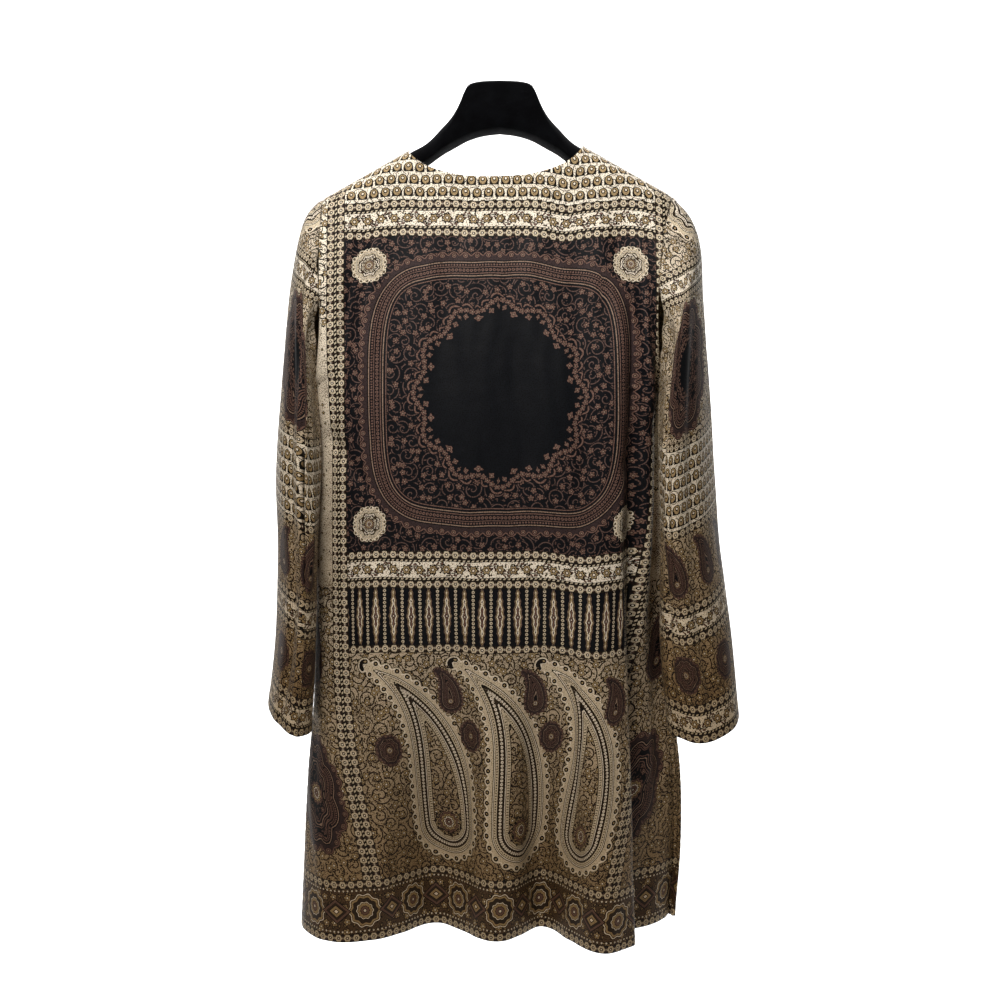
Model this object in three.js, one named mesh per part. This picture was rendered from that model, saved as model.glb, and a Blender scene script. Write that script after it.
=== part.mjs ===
// Collarless open kimono coat of thin printed satin, hanging on a wide-shouldered hanger.
// Millimetres, +Z up. The back of the coat faces +Y, its fronts face -Y, and +X is the wearer's left.
// The origin is the middle of the hanger's crown, where the hanger is held.
import * as THREE from "three";

// Driving sizes
const WALL = 1.8;
const SEAM_GAP = 0.3;
const SHOULDER = { x: 105, z: -79, slope: 0.57, rollRadius: 26 };
const NECK = { left: 105, right: 95, dip: 37, fullness: 2.4, corner: 0.58 };
const ARMHOLE = { deep: 40, under: -350 };
const TIP = { left: 204, right: 199 };
const HEM = { z: -976, level: 48, swing: 0.1 };
const FRONT_EDGE = { straight: 24, neckDepth: 265, curve: 1.6, gapTop: 7, gapHem: 15, parts: -360 };

// Grid fineness of the walls: rows over the shoulder, down the armhole and down the side, columns,
// the closest that columns come (share of the half width), and steps inside the neck points (mm)
const ROLL_ROWS = 5;
const ARMHOLE_ROWS = 7;
const SIDE_ROWS = 15;
const BACK_COLUMNS = 44;
const FRONT_COLUMNS = 20;
const CLOSEST_COLUMNS = 0.012;
const NECK_COLUMNS = [0, 1.5, 4, 8, 14];
const LENGTH_SAMPLES = 600;

// The coat's girth by height: half widths, mid depths, side seam depths and squareness of the sides
const girth = [
  { z: -135, left: 204, right: 199, back: 26, front: -26, seamLeft: 0, seamRight: 0, square: 8 },
  { z: -240, left: 206, right: 188, back: 38, front: -36, seamLeft: 0, seamRight: 0, square: 9 },
  { z: -350, left: 212, right: 184, back: 50, front: -46, seamLeft: 0, seamRight: 0, square: 9 },
  { z: -430, left: 214, right: 188, back: 54, front: -50, seamLeft: -18, seamRight: -20, square: 4.2 },
  { z: -600, left: 214, right: 194, back: 54, front: -54, seamLeft: -20, seamRight: -24, square: 3.4 },
  { z: -710, left: 216, right: 201, back: 52, front: -58, seamLeft: -20, seamRight: -30, square: 3.4 },
  { z: -800, left: 223, right: 211, back: 50, front: -62, seamLeft: -20, seamRight: -38, square: 5 },
  { z: -890, left: 227, right: 212, back: 49, front: -66, seamLeft: -20, seamRight: -48, square: 6.5 },
  { z: -976, left: 230, right: 205, back: 48, front: -70, seamLeft: -20, seamRight: -58, square: 8 },
];

// Armhole seam in front view: distance from the middle at its top, mid and under points
const armholes = {
  left: { top: 204, mid: 204, under: 212 },
  right: { top: 199, mid: 179, under: 184 },
};

// Folds of the back, each a ridge (+) or valley (-) that grows from a height down to the hem
const backFolds = [
  { at: 184, drift: 8, width: 28, depth: 10, from: -560 },
  { at: 74, drift: -6, width: 42, depth: -60, from: -520 },
  { at: 10, drift: 4, width: 26, depth: 7, from: -600 },
  { at: -48, drift: 10, width: 27, depth: -48, from: -560 },
  { at: -112, drift: 12, width: 30, depth: 40, from: -420 },
];

// The deep lap near the right side: the cloth to its right lies behind it. Its edge is crisp at the
// hem and widens by spread towards its start.
const lap = { at: -144, drift: 10, width: 3.5, spread: 12, depth: 40, from: -270, growth: 0.8 };

// Share of the half width over which folds and the lap die out beside the side seams
const FOLD_FADE = 0.1;
const LAP_FADE = 0.04;

// Folds of the fronts, measured from the middle of the coat
const frontFolds = {
  front_left: [
    { at: 58, drift: 6, width: 26, depth: -14, from: -480 },
    { at: 120, drift: -8, width: 30, depth: 22, from: -430 },
    { at: 178, drift: -6, width: 24, depth: -12, from: -560 },
  ],
  front_right: [
    { at: -48, drift: 4, width: 22, depth: -12, from: -540 },
    { at: -104, drift: -6, width: 28, depth: 24, from: -400 },
    { at: -158, drift: 8, width: 24, depth: -14, from: -520 },
  ],
};

// Rings of each sleeve from the armhole to the cuff. out and in are the ring's furthest and nearest
// distance from the coat's middle, with their heights. y and deep are its middle and half depth,
// lean is how far its back end turns in, and drop how much lower the back end hangs.
const sleeveRings = {
  left: [
    { out: 204, zOut: -135, in: 212, zIn: -350, y: 0, deep: 40, lean: 0, drop: 0 },
    { out: 221, zOut: -153, in: 213, zIn: -358, y: 2, deep: 47, lean: 2, drop: 0 },
    { out: 233, zOut: -186, in: 212, zIn: -368, y: 4, deep: 54, lean: 5, drop: 2 },
    { out: 243, zOut: -240, in: 210, zIn: -384, y: 6, deep: 61, lean: 9, drop: 4 },
    { out: 252, zOut: -330, in: 207, zIn: -420, y: 8, deep: 66, lean: 13, drop: 6 },
    { out: 260, zOut: -440, in: 206, zIn: -490, y: 10, deep: 65, lean: 15, drop: 8 },
    { out: 258, zOut: -545, in: 206, zIn: -565, y: 12, deep: 62, lean: 15, drop: 12 },
    { out: 259, zOut: -640, in: 208, zIn: -655, y: 14, deep: 61, lean: 14, drop: 22 },
    { out: 266, zOut: -716, in: 213, zIn: -736, y: 15, deep: 60, lean: 10, drop: 32 },
  ],
  right: [
    { out: 199, zOut: -135, in: 184, zIn: -350, y: 0, deep: 40, lean: 0, drop: 0 },
    { out: 219, zOut: -156, in: 186, zIn: -358, y: 3, deep: 47, lean: 4, drop: 0 },
    { out: 232, zOut: -190, in: 186, zIn: -368, y: 6, deep: 54, lean: 9, drop: 2 },
    { out: 236, zOut: -242, in: 184, zIn: -384, y: 9, deep: 60, lean: 15, drop: 4 },
    { out: 243, zOut: -330, in: 181, zIn: -420, y: 13, deep: 64, lean: 22, drop: 6 },
    { out: 250, zOut: -440, in: 181, zIn: -490, y: 17, deep: 62, lean: 26, drop: 8 },
    { out: 255, zOut: -535, in: 182, zIn: -555, y: 22, deep: 60, lean: 25, drop: 14 },
    { out: 264, zOut: -630, in: 183, zIn: -645, y: 28, deep: 58, lean: 17, drop: 28 },
    { out: 270, zOut: -722, in: 188, zIn: -732, y: 36, deep: 56, lean: 4, drop: 42 },
  ],
};

// Troughs that run down a sleeve, at an angle round it (0 outer, 90 back, 180 inner) and from a share
// of its length. depth is a share of the ring's radius.
const sleeveFolds = {
  left: [
    { angle: 62, width: 18, depth: 0.07, from: 0.25 },
    { angle: 128, width: 16, depth: 0.06, from: 0.1 },
    { angle: 285, width: 20, depth: 0.07, from: 0.3 },
  ],
  right: [
    { angle: 128, width: 16, depth: 0.07, from: 0.15 },
    { angle: 60, width: 20, depth: 0.04, from: 0.35 },
    { angle: 290, width: 20, depth: 0.07, from: 0.3 },
  ],
};
const TROUGH_START = 0.2;

// Ring numbers by which a sleeve has left the armhole's shape and its bow, and rows between rings
const SLEEVE_TURNED = 2.5;
const SLEEVE_BOW_GONE = 3;
const SLEEVE_PARTS = { cap: 2, below: 3, capRings: 2 };

// The hanger by distance from its middle: top and bottom height, half depth and height of its arched top
const hangerStations = [
  { x: 0, top: 0, bottom: -59, half: 20, arch: 7 },
  { x: 14, top: -0.4, bottom: -60.5, half: 20, arch: 7 },
  { x: 26, top: -1.5, bottom: -63, half: 20, arch: 7 },
  { x: 36, top: -5, bottom: -66.5, half: 20, arch: 7 },
  { x: 41.5, top: -14, bottom: -69, half: 20.5, arch: 8 },
  { x: 47, top: -27, bottom: -72, half: 21, arch: 10 },
  { x: 55, top: -41, bottom: -76.5, half: 21.5, arch: 13 },
  { x: 67, top: -54.5, bottom: -83.5, half: 21, arch: 17.5 },
  { x: 84, top: -71.2, bottom: -96, half: 19.6, arch: 21.5 },
  { x: 105, top: -83, bottom: -109, half: 19.8, arch: 22 },
  { x: 150, top: -107.7, bottom: -134, half: 21.2, arch: 21 },
  { x: 176, top: -122.5, bottom: -149, half: 20.5, arch: 21 },
  { x: 184, top: -129, bottom: -151, half: 17, arch: 16 },
  { x: 188, top: -137, bottom: -149, half: 11, arch: 7 },
];
const HANGER_SIDES = 20;
const HANGER_UNDER_ARCH = 4;

// Smooth value between table rows (Catmull-Rom), by a key column or by row number
function along(table, column, key, value) {
  const descending = key && table[0][key] > table[table.length - 1][key];
  let i = 0;
  let t = value;
  if (key) {
    const passed = (row) => (descending ? row[key] <= value : row[key] >= value);
    const next = table.findIndex(passed);
    i = Math.min(Math.max((next < 0 ? table.length : next) - 1, 0), table.length - 2);
    t = (value - table[i][key]) / (table[i + 1][key] - table[i][key]);
  } else {
    i = Math.min(Math.max(Math.floor(value), 0), table.length - 2);
    t = value - i;
  }
  t = Math.min(Math.max(t, 0), 1);
  const at = (n) => table[Math.min(Math.max(n, 0), table.length - 1)][column];
  const [a, b, c, d] = [at(i - 1), at(i), at(i + 1), at(i + 2)];
  const bend = t * (2 * a - 5 * b + 4 * c - d + t * (3 * b - a - 3 * c + d));
  return b + 0.5 * t * (c - a + bend);
}

// Rises smoothly from 0 at one end to 1 at the other
function rise(value, from, to) {
  const t = Math.min(Math.max((value - from) / (to - from), 0), 1);
  return t * t * (3 - 2 * t);
}

// Height of the shoulder line over the hanger
function ridge(x) {
  return SHOULDER.z - SHOULDER.slope * (Math.abs(x) - SHOULDER.x);
}

// Height of the back's top edge: the neckline dips between the neck points
function backTop(x) {
  const reach = x > 0 ? NECK.left : NECK.right;
  if (Math.abs(x) >= reach) return ridge(x);
  const share = (x + NECK.right) / (NECK.left + NECK.right);
  const chord = ridge(NECK.right) + share * (ridge(NECK.left) - ridge(NECK.right));
  const inside = 1 - Math.pow(Math.abs(x) / reach, NECK.fullness);
  return chord - NECK.dip * Math.pow(inside, NECK.corner);
}

// How far the cloth has rolled over the hanger's round shoulder, 0 at the ridge and 1 below it
function roll(x, z) {
  const below = Math.max(ridge(x) - z, 0);
  const r = SHOULDER.rollRadius;
  return below >= r ? 1 : Math.sqrt(r * r - (r - below) * (r - below)) / r;
}

// Sum of the folds at a point of a panel, grown to full depth at the hem
function foldDepth(folds, x, z) {
  let sum = 0;
  for (const f of folds) {
    const grown = rise(z, f.from, HEM.z);
    const t = (x - f.at - f.drift * (1 - grown)) / f.width;
    sum += f.depth * grown * Math.exp(-t * t);
  }
  return sum;
}

// Depth of the step behind the lap
function lapDepth(x, z) {
  const grown = Math.pow(rise(z, lap.from, HEM.z), lap.growth);
  const t = (x - lap.at - lap.drift * (1 - grown)) / (lap.width + lap.spread * (1 - grown));
  return -lap.depth * grown * 0.5 * (1 - Math.tanh(t));
}

// Edge of a body panel at a height: the armhole seam above the underarm, the side seam below it
function panelEdge(side, facing, z) {
  const sign = side === "left" ? 1 : -1;
  if (z >= ARMHOLE.under) {
    const middle = (armholeTop(side) + ARMHOLE.under) / 2;
    const half = (armholeTop(side) - ARMHOLE.under) / 2;
    const c = Math.min(Math.max((z - middle) / half, -1), 1);
    const a = armholes[side];
    const pull = c > 0 ? a.top - a.mid : a.under - a.mid;
    return { x: sign * (a.mid + pull * c * c), y: facing * ARMHOLE.deep * Math.sqrt(1 - c * c) };
  }
  const seam = side === "left" ? "seamLeft" : "seamRight";
  return { x: sign * along(girth, side, "z", z), y: along(girth, seam, "z", z) };
}

function armholeTop(side) {
  return ridge(TIP[side]);
}

// Outer surface of the back or a front at a share s of the half width (-1 right, +1 left)
function bodyPoint(s, z, zEdge, facing, folds) {
  const side = s >= 0 ? "left" : "right";
  const edge = panelEdge(side, facing, zEdge);
  const x = Math.abs(s) * edge.x;
  const square = along(girth, "square", "z", zEdge);
  const mid = along(girth, facing > 0 ? "back" : "front", "z", z) * roll(x, z);
  const bulge = Math.sqrt(Math.max(1 - Math.pow(Math.abs(s), square), 0));
  let y = edge.y + (mid - edge.y) * bulge;
  y += foldDepth(folds, x, z) * rise(1 - Math.abs(s), 0, FOLD_FADE);
  if (facing > 0) y += lapDepth(x, z) * rise(1 - Math.abs(s), 0, LAP_FADE);
  return new THREE.Vector3(x, y, z);
}

// Heights of the rows along a panel's edge: over the shoulder, down the armhole, down the side
function edgeHeights(side) {
  const top = armholeTop(side);
  const heights = [];
  for (let k = 0; k <= ROLL_ROWS; k++) {
    heights.push(top - SHOULDER.rollRadius * (1 - Math.cos((k / ROLL_ROWS) * (Math.PI / 2))));
  }
  const half = (top - ARMHOLE.under) / 2;
  const afterRoll = Math.acos(1 - SHOULDER.rollRadius / half);
  for (let k = 1; k <= ARMHOLE_ROWS; k++) {
    const angle = afterRoll + (k / ARMHOLE_ROWS) * (Math.PI - afterRoll);
    heights.push(ARMHOLE.under + half * (1 + Math.cos(angle)));
  }
  const hem = hemHeight(panelEdge(side, 1, HEM.z).y);
  for (let k = 1; k <= SIDE_ROWS; k++) {
    heights.push(ARMHOLE.under + (k / SIDE_ROWS) * (hem - ARMHOLE.under));
  }
  return heights;
}

// The hem hangs a little lower where the cloth swings to the back
function hemHeight(y) {
  return HEM.z - HEM.swing * (y - HEM.level);
}

// Height of a row at a share of the half width, from the edge heights of both sides
function rowHeight(row, s, top, hem) {
  const heights = edgeHeights(s >= 0 ? "left" : "right");
  const fall = (heights[0] - heights[row]) / (heights[0] - heights[heights.length - 1]);
  return top - fall * (top - hem);
}

// Shares of the half width for a panel's columns: spaced evenly along its hem, plus the fixed ones
function columnShares(from, to, columns, facing, folds, fixed) {
  const shares = [];
  const lengths = [0];
  let last = null;
  for (let i = 0; i <= LENGTH_SAMPLES; i++) {
    const t = from + ((to - from) * i) / LENGTH_SAMPLES;
    const s = Math.abs(from) === 1 && Math.abs(to) === 1 ? Math.sin((t * Math.PI) / 2) : t;
    const p = bodyPoint(s, HEM.z, HEM.z, facing, folds);
    if (last) lengths.push(lengths[i - 1] + p.distanceTo(last));
    shares.push(s);
    last = p;
  }
  const result = [...fixed];
  for (let k = 0; k <= columns; k++) {
    const wanted = (lengths[LENGTH_SAMPLES] * k) / columns;
    const i = Math.max(lengths.findIndex((l) => l >= wanted - 1e-9), 0);
    const crowded = fixed.some((value) => Math.abs(value - shares[i]) < CLOSEST_COLUMNS);
    if (!crowded) result.push(shares[i]);
  }
  return result.sort((a, b) => a - b);
}

// Unit normals of an outer grid; turn is 1 or -1, whichever points them into the hollow side
function inwardDirections(outer, closed, turn) {
  const rows = outer.length;
  const cols = outer[0].length;
  return outer.map((line, j) =>
    line.map((p, k) => {
      const up = outer[Math.max(j - 1, 0)][k];
      const down = outer[Math.min(j + 1, rows - 1)][k];
      const before = closed ? outer[j][(k + cols - 1) % cols] : outer[j][Math.max(k - 1, 0)];
      const after = closed ? outer[j][(k + 1) % cols] : outer[j][Math.min(k + 1, cols - 1)];
      const along1 = new THREE.Vector3().subVectors(down, up);
      const across = new THREE.Vector3().subVectors(after, before);
      return new THREE.Vector3().crossVectors(across, along1).normalize().multiplyScalar(turn);
    }),
  );
}

// Closes a wall between an outer grid and the grid moved inwards, with its faces turned outwards
function wallGeometry(outer, inward, closed) {
  const rows = outer.length;
  const cols = outer[0].length;
  const inner = outer.map((line, j) => line.map((p, k) => p.clone().addScaledVector(inward[j][k], WALL)));
  const positions = [...outer.flat(), ...inner.flat()].flatMap((p) => [p.x, p.y, p.z]);
  const size = rows * cols;
  const index = [];
  const quad = (a, b, c, d) => index.push(a, b, c, a, c, d);
  const spans = closed ? cols : cols - 1;
  for (let j = 0; j < rows - 1; j++) {
    for (let k = 0; k < spans; k++) {
      const a = j * cols + k;
      const d = j * cols + ((k + 1) % cols);
      quad(a, a + cols, d + cols, d);
      quad(size + a, size + d, size + d + cols, size + a + cols);
    }
    if (!closed) {
      const left = j * cols;
      const right = left + cols - 1;
      quad(left, size + left, size + left + cols, left + cols);
      quad(right, right + cols, size + right + cols, size + right);
    }
  }
  const bottom = (rows - 1) * cols;
  for (let k = 0; k < spans; k++) {
    const next = (k + 1) % cols;
    quad(k, next, size + next, size + k);
    quad(bottom + k, size + bottom + k, size + bottom + next, bottom + next);
  }
  return solidGeometry(positions, index);
}

// A geometry whose triangles are turned so that its volume is positive
function solidGeometry(positions, index) {
  const at = (i) => new THREE.Vector3().fromArray(positions, 3 * i);
  let volume = 0;
  for (let i = 0; i < index.length; i += 3) {
    volume += at(index[i]).dot(at(index[i + 1]).cross(at(index[i + 2])));
  }
  const turned = volume < 0 ? index.slice().reverse() : index;
  const geometry = new THREE.BufferGeometry();
  geometry.setAttribute("position", new THREE.Float32BufferAttribute(positions, 3));
  geometry.setIndex(turned);
  geometry.computeVertexNormals();
  return geometry;
}

function mesh(name, geometry, material) {
  const piece = new THREE.Mesh(geometry, material);
  piece.name = name;
  return piece;
}

// Direction across the wall along the armhole seam, square to the seam and towards its middle
function armholeInward(side, z, y) {
  const middle = (armholeTop(side) + ARMHOLE.under) / 2;
  const half = (armholeTop(side) - ARMHOLE.under) / 2;
  return new THREE.Vector3(0, -y / ARMHOLE.deep ** 2, -(z - middle) / half ** 2).normalize();
}

// Direction across the wall where the cloth rolls over the hanger's round shoulder
function rollInward(p) {
  const above = p.z - (ridge(p.x) - SHOULDER.rollRadius);
  return new THREE.Vector3(-Math.sign(p.x) * SHOULDER.slope * above, -p.y, -above).normalize();
}

// A body panel: grid from shoulder to hem, with its seam edges set apart from the next panels
function bodyPanel(name, side, folds, material) {
  const facing = side === "both" ? 1 : -1;
  const shares = facing > 0 ? backShares(folds) : frontShares(side, folds);
  const rows = ROLL_ROWS + ARMHOLE_ROWS + SIDE_ROWS;
  const outer = [];
  for (let j = 0; j <= rows; j++) {
    outer.push(shares.map((share) => panelPoint(side, share, j, facing, folds)));
  }
  const inward = inwardDirections(outer, false, -facing);
  outer.forEach((line, j) =>
    line.forEach((p, k) => {
      if (roll(p.x, p.z) < 1) inward[j][k] = rollInward(p);
    }),
  );
  const last = shares.length - 1;
  const seamColumns = { both: [0, last], left: [last], right: [0] }[side];
  for (const k of seamColumns) setSeamEdge(outer, inward, k, facing);
  for (const p of outer[0]) {
    const reach = p.x > 0 ? NECK.left : NECK.right;
    if (Math.abs(p.x) > reach - 1e-3) p.y += (facing * SEAM_GAP) / 2;
  }
  return mesh(name, wallGeometry(outer, inward, false), material);
}

// The grid point of a panel's column at a row
function panelPoint(side, share, row, facing, folds) {
  const own = side === "both" ? (share >= 0 ? "left" : "right") : side;
  const s = facing > 0 ? share : frontShare(side, share, row);
  const top = facing > 0 ? backTop(share * TIP[own]) : frontTop(side, share);
  const hem = hemHeight(bodyPoint(s, HEM.z, HEM.z, facing, folds).y);
  return bodyPoint(s, rowHeight(row, s, top, hem), edgeHeights(own)[row], facing, folds);
}

// Sets a panel's armhole and side seam edge half a gap back, with the wall square to the seam
function setSeamEdge(outer, inward, k, facing) {
  const underRow = ROLL_ROWS + ARMHOLE_ROWS;
  outer.forEach((line, j) => {
    const p = line[k];
    const sign = Math.sign(p.x);
    const own = sign > 0 ? "left" : "right";
    inward[j][k] = j < underRow ? armholeInward(own, p.z, p.y) : new THREE.Vector3(-sign, 0, 0);
    if (j <= underRow) p.x -= (sign * SEAM_GAP) / 2;
    if (j >= underRow) p.y += (facing * SEAM_GAP) / 2;
  });
}

// Columns of the back, from -1 at the right to 1 at the left, some close together at the neck points
function backShares(folds) {
  const near = (side, sign) => NECK_COLUMNS.map((step) => (sign * (NECK[side] - step)) / TIP[side]);
  return columnShares(-1, 1, BACK_COLUMNS, 1, folds, [...near("right", -1), ...near("left", 1)]);
}

// A front runs from its centre edge (0) to its side (1). Distance of the centre edge from the middle:
function centreEdge(side, z) {
  const neck = NECK[side];
  const below = Math.max(ridge(neck) - z - FRONT_EDGE.straight, 0);
  const gap = FRONT_EDGE.gapTop + (FRONT_EDGE.gapHem - FRONT_EDGE.gapTop) * rise(z, FRONT_EDGE.parts, HEM.z);
  const left = Math.max(1 - below / FRONT_EDGE.neckDepth, 0);
  return gap + (neck - gap) * Math.pow(left, FRONT_EDGE.curve);
}

function frontTop(side, share) {
  return ridge(NECK[side] + share * (TIP[side] - NECK[side]));
}

// Columns of a front, from 0 at its centre edge to 1 at its side, in order of increasing x
function frontShares(side, folds) {
  const from = centreEdge(side, HEM.z) / along(girth, side, "z", HEM.z);
  const sign = side === "left" ? 1 : -1;
  const ends = side === "left" ? [from, 1] : [-1, -from];
  const shares = columnShares(ends[0], ends[1], FRONT_COLUMNS, -1, folds, []);
  return shares.map((s) => (sign * s - from) / (1 - from));
}

// Signed share of the half width for a front's column at a row
function frontShare(side, share, row) {
  const sign = side === "left" ? 1 : -1;
  const zEdge = edgeHeights(side)[row];
  const width = Math.abs(panelEdge(side, -1, zEdge).x);
  const z = rowHeight(row, sign, ridge(NECK[side]), HEM.z);
  const inner = centreEdge(side, z) / width;
  return sign * (inner + share * (1 - inner));
}

// A sleeve: rings from the armhole seam to the cuff, one column for each row of the armhole
function sleeve(name, side, material) {
  const sign = side === "left" ? 1 : -1;
  const heights = edgeHeights(side).slice(0, ROLL_ROWS + ARMHOLE_ROWS + 1);
  const middle = (heights[0] + ARMHOLE.under) / 2;
  const half = (heights[0] - ARMHOLE.under) / 2;
  const turn = heights.map((z) => Math.acos(Math.min(Math.max((z - middle) / half, -1), 1)));
  const angles = [...turn, ...turn.slice(1, -1).reverse().map((a) => 2 * Math.PI - a)];
  const rings = sleeveRings[side];
  const steps = [];
  for (let i = 0; i < rings.length - 1; i++) {
    const parts = i < SLEEVE_PARTS.capRings ? SLEEVE_PARTS.cap : SLEEVE_PARTS.below;
    for (let k = 0; k < parts; k++) steps.push(i + k / parts);
  }
  steps.push(rings.length - 1);
  const outer = steps.map((step) =>
    angles.map((angle) => (step === 0 ? armholePoint(side, angle) : ringPoint(side, step, angle))),
  );
  const inward = inwardDirections(outer, true, sign);
  angles.forEach((angle, k) => {
    const p = outer[0][k];
    inward[0][k] = armholeInward(side, p.z, p.y);
    if (Math.abs(angle - Math.PI) < 1e-6) inward[0][k] = new THREE.Vector3(sign, 0, 0);
    p.x += (sign * SEAM_GAP) / 2;
  });
  return mesh(name, wallGeometry(outer, inward, true), material);
}

// A point of the armhole seam at an angle from its top
function armholePoint(side, angle) {
  const top = armholeTop(side);
  const z = (top + ARMHOLE.under) / 2 + ((top - ARMHOLE.under) / 2) * Math.cos(angle);
  const edge = panelEdge(side, Math.sin(angle) >= 0 ? 1 : -1, z);
  return new THREE.Vector3(edge.x, edge.y, z);
}

// A point of a sleeve ring: an oval set by the ring table, with the sleeve's troughs pressed in
function ringPoint(side, step, angle) {
  const rings = sleeveRings[side];
  const sign = side === "left" ? 1 : -1;
  const get = (column) => along(rings, column, null, step);
  const halfWidth = (get("out") - get("in")) / 2;
  const lean = get("lean");
  const start = rise(step, 0, SLEEVE_TURNED);
  const across = start * Math.sqrt(Math.max(halfWidth ** 2 - lean ** 2, 0)) + (1 - start) * halfWidth;
  const pressed = sleevePress(side, step / (rings.length - 1), angle);
  const cos = Math.cos(angle) * (1 - pressed);
  const sin = Math.sin(angle) * (1 - pressed);
  const a = armholes[side];
  const bow = (a.mid - (a.top + a.under) / 2) * (1 - rise(step, 0, SLEEVE_BOW_GONE)) * sin * sin;
  const x = (get("out") + get("in")) / 2 + across * cos - lean * sin + bow;
  const y = get("y") + get("deep") * sin;
  const z = (get("zOut") + get("zIn")) / 2 + ((get("zOut") - get("zIn")) / 2) * cos;
  return new THREE.Vector3(sign * x, y, z - (get("drop") / 2) * sin);
}

// Depth of the troughs at a place on a sleeve, as a share of its radius
function sleevePress(side, share, angle) {
  let sum = 0;
  for (const f of sleeveFolds[side]) {
    const degrees = THREE.MathUtils.radToDeg(angle);
    const t = (degrees - f.angle) / f.width;
    sum += f.depth * rise(share, f.from, f.from + TROUGH_START) * Math.exp(-t * t);
  }
  return sum;
}

// The hanger: rounded sections along its arms, closed at both ends
function hanger(name, material) {
  const stations = [
    ...hangerStations.slice(1).reverse().map((s) => ({ ...s, x: -s.x })),
    ...hangerStations,
  ];
  const positions = [];
  const index = [];
  for (const s of stations) {
    for (let k = 0; k < HANGER_SIDES; k++) {
      const angle = (2 * Math.PI * k) / HANGER_SIDES;
      const rising = Math.sin(angle);
      const top = s.top - s.arch * (1 - rising);
      const bottom = s.bottom + HANGER_UNDER_ARCH * (1 + rising);
      positions.push(s.x, s.half * Math.cos(angle), rising > -1e-9 ? top : bottom);
    }
  }
  for (let j = 0; j < stations.length - 1; j++) {
    for (let k = 0; k < HANGER_SIDES; k++) {
      const a = j * HANGER_SIDES + k;
      const b = j * HANGER_SIDES + ((k + 1) % HANGER_SIDES);
      index.push(a, b, b + HANGER_SIDES, a, b + HANGER_SIDES, a + HANGER_SIDES);
    }
  }
  for (const [j, flip] of [[0, false], [stations.length - 1, true]]) {
    const s = stations[j];
    const centre = positions.length / 3;
    positions.push(s.x, 0, (s.top + s.bottom) / 2);
    for (let k = 0; k < HANGER_SIDES; k++) {
      const a = j * HANGER_SIDES + k;
      const b = j * HANGER_SIDES + ((k + 1) % HANGER_SIDES);
      index.push(...(flip ? [a, b, centre] : [b, a, centre]));
    }
  }
  return mesh(name, solidGeometry(positions, index), material);
}

const satin = () => new THREE.MeshStandardMaterial({ color: 0x9c8a66, roughness: 0.5, metalness: 0 });
const flock = new THREE.MeshStandardMaterial({ color: 0x0b0c0e, roughness: 0.95, metalness: 0 });

const coat = new THREE.Group();
coat.add(
  bodyPanel("back", "both", backFolds, satin()),
  bodyPanel("front_left", "left", frontFolds.front_left, satin()),
  bodyPanel("front_right", "right", frontFolds.front_right, satin()),
  sleeve("sleeve_left", "left", satin()),
  sleeve("sleeve_right", "right", satin()),
  hanger("hanger", flock),
);

export default coat;
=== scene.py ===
"""Kimono coat of printed satin on a flocked hanger: cloth shells, hanger, print, studio and camera.

Lengths in the tables are millimetres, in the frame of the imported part: +Z up, the back of the coat faces
+Y, its fronts face -Y, and +X is the wearer's left. Cut coordinates are measured on the flat cloth: u
across, from the middle of a panel or the outer line of a sleeve, and v up, from its hem.
"""

import math

import bpy
import numpy as np
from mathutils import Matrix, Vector


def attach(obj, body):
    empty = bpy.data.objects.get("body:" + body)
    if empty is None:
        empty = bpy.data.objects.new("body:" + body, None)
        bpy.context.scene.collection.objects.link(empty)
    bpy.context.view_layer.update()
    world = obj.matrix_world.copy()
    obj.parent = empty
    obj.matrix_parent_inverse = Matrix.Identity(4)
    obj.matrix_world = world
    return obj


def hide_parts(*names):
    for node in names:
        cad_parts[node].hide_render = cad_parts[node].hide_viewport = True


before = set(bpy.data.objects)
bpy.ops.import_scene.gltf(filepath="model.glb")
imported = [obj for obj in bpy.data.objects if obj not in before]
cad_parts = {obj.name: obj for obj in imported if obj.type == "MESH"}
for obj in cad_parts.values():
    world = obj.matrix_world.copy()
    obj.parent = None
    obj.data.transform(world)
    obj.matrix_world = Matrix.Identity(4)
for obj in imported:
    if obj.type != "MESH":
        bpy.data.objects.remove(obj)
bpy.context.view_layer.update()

bl_info = {
    "name": "Printed Satin Kimono Coat",
    "version": (1, 0, 0),
    "blender": (4, 5, 0),
    "location": "View3D > Sidebar > Kimono Coat",
    "description": "Dresses a kimono coat on its hanger: cloth, print, hanger and studio",
    "category": "Object",
}

MM = 0.001
TURN = 2 * math.pi

# The coat's form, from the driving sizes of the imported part
SHOULDER = {"x": 105, "z": -79, "slope": 0.57, "roll": 26}
NECK = {"left": 105, "right": 95, "dip": 37, "fullness": 2.4, "corner": 0.58}
ARMHOLE = {"deep": 40, "under": -350}
TIP = {"left": 204, "right": 199}
HEM = {"z": -976, "level": 48, "swing": 0.1}
FRONT_EDGE = {"straight": 24, "depth": 265, "curve": 1.6, "gap_top": 7, "gap_hem": 15, "parts": -360}

# Girth by height: half widths, mid depths, depths of the side seams and squareness of the sides
GIRTH = {
    "z": [-135, -240, -350, -430, -600, -710, -800, -890, -976],
    "left": [204, 206, 212, 214, 214, 216, 223, 227, 230],
    "right": [199, 188, 184, 188, 194, 201, 211, 212, 205],
    "back": [26, 38, 50, 54, 54, 52, 50, 49, 48],
    "front": [-26, -36, -46, -50, -54, -58, -62, -66, -70],
    "seam_left": [0, 0, 0, -18, -20, -20, -20, -20, -20],
    "seam_right": [0, 0, 0, -20, -24, -30, -38, -48, -58],
    "square": [8, 9, 9, 4.2, 3.4, 3.4, 5, 6.5, 8],
}

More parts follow.
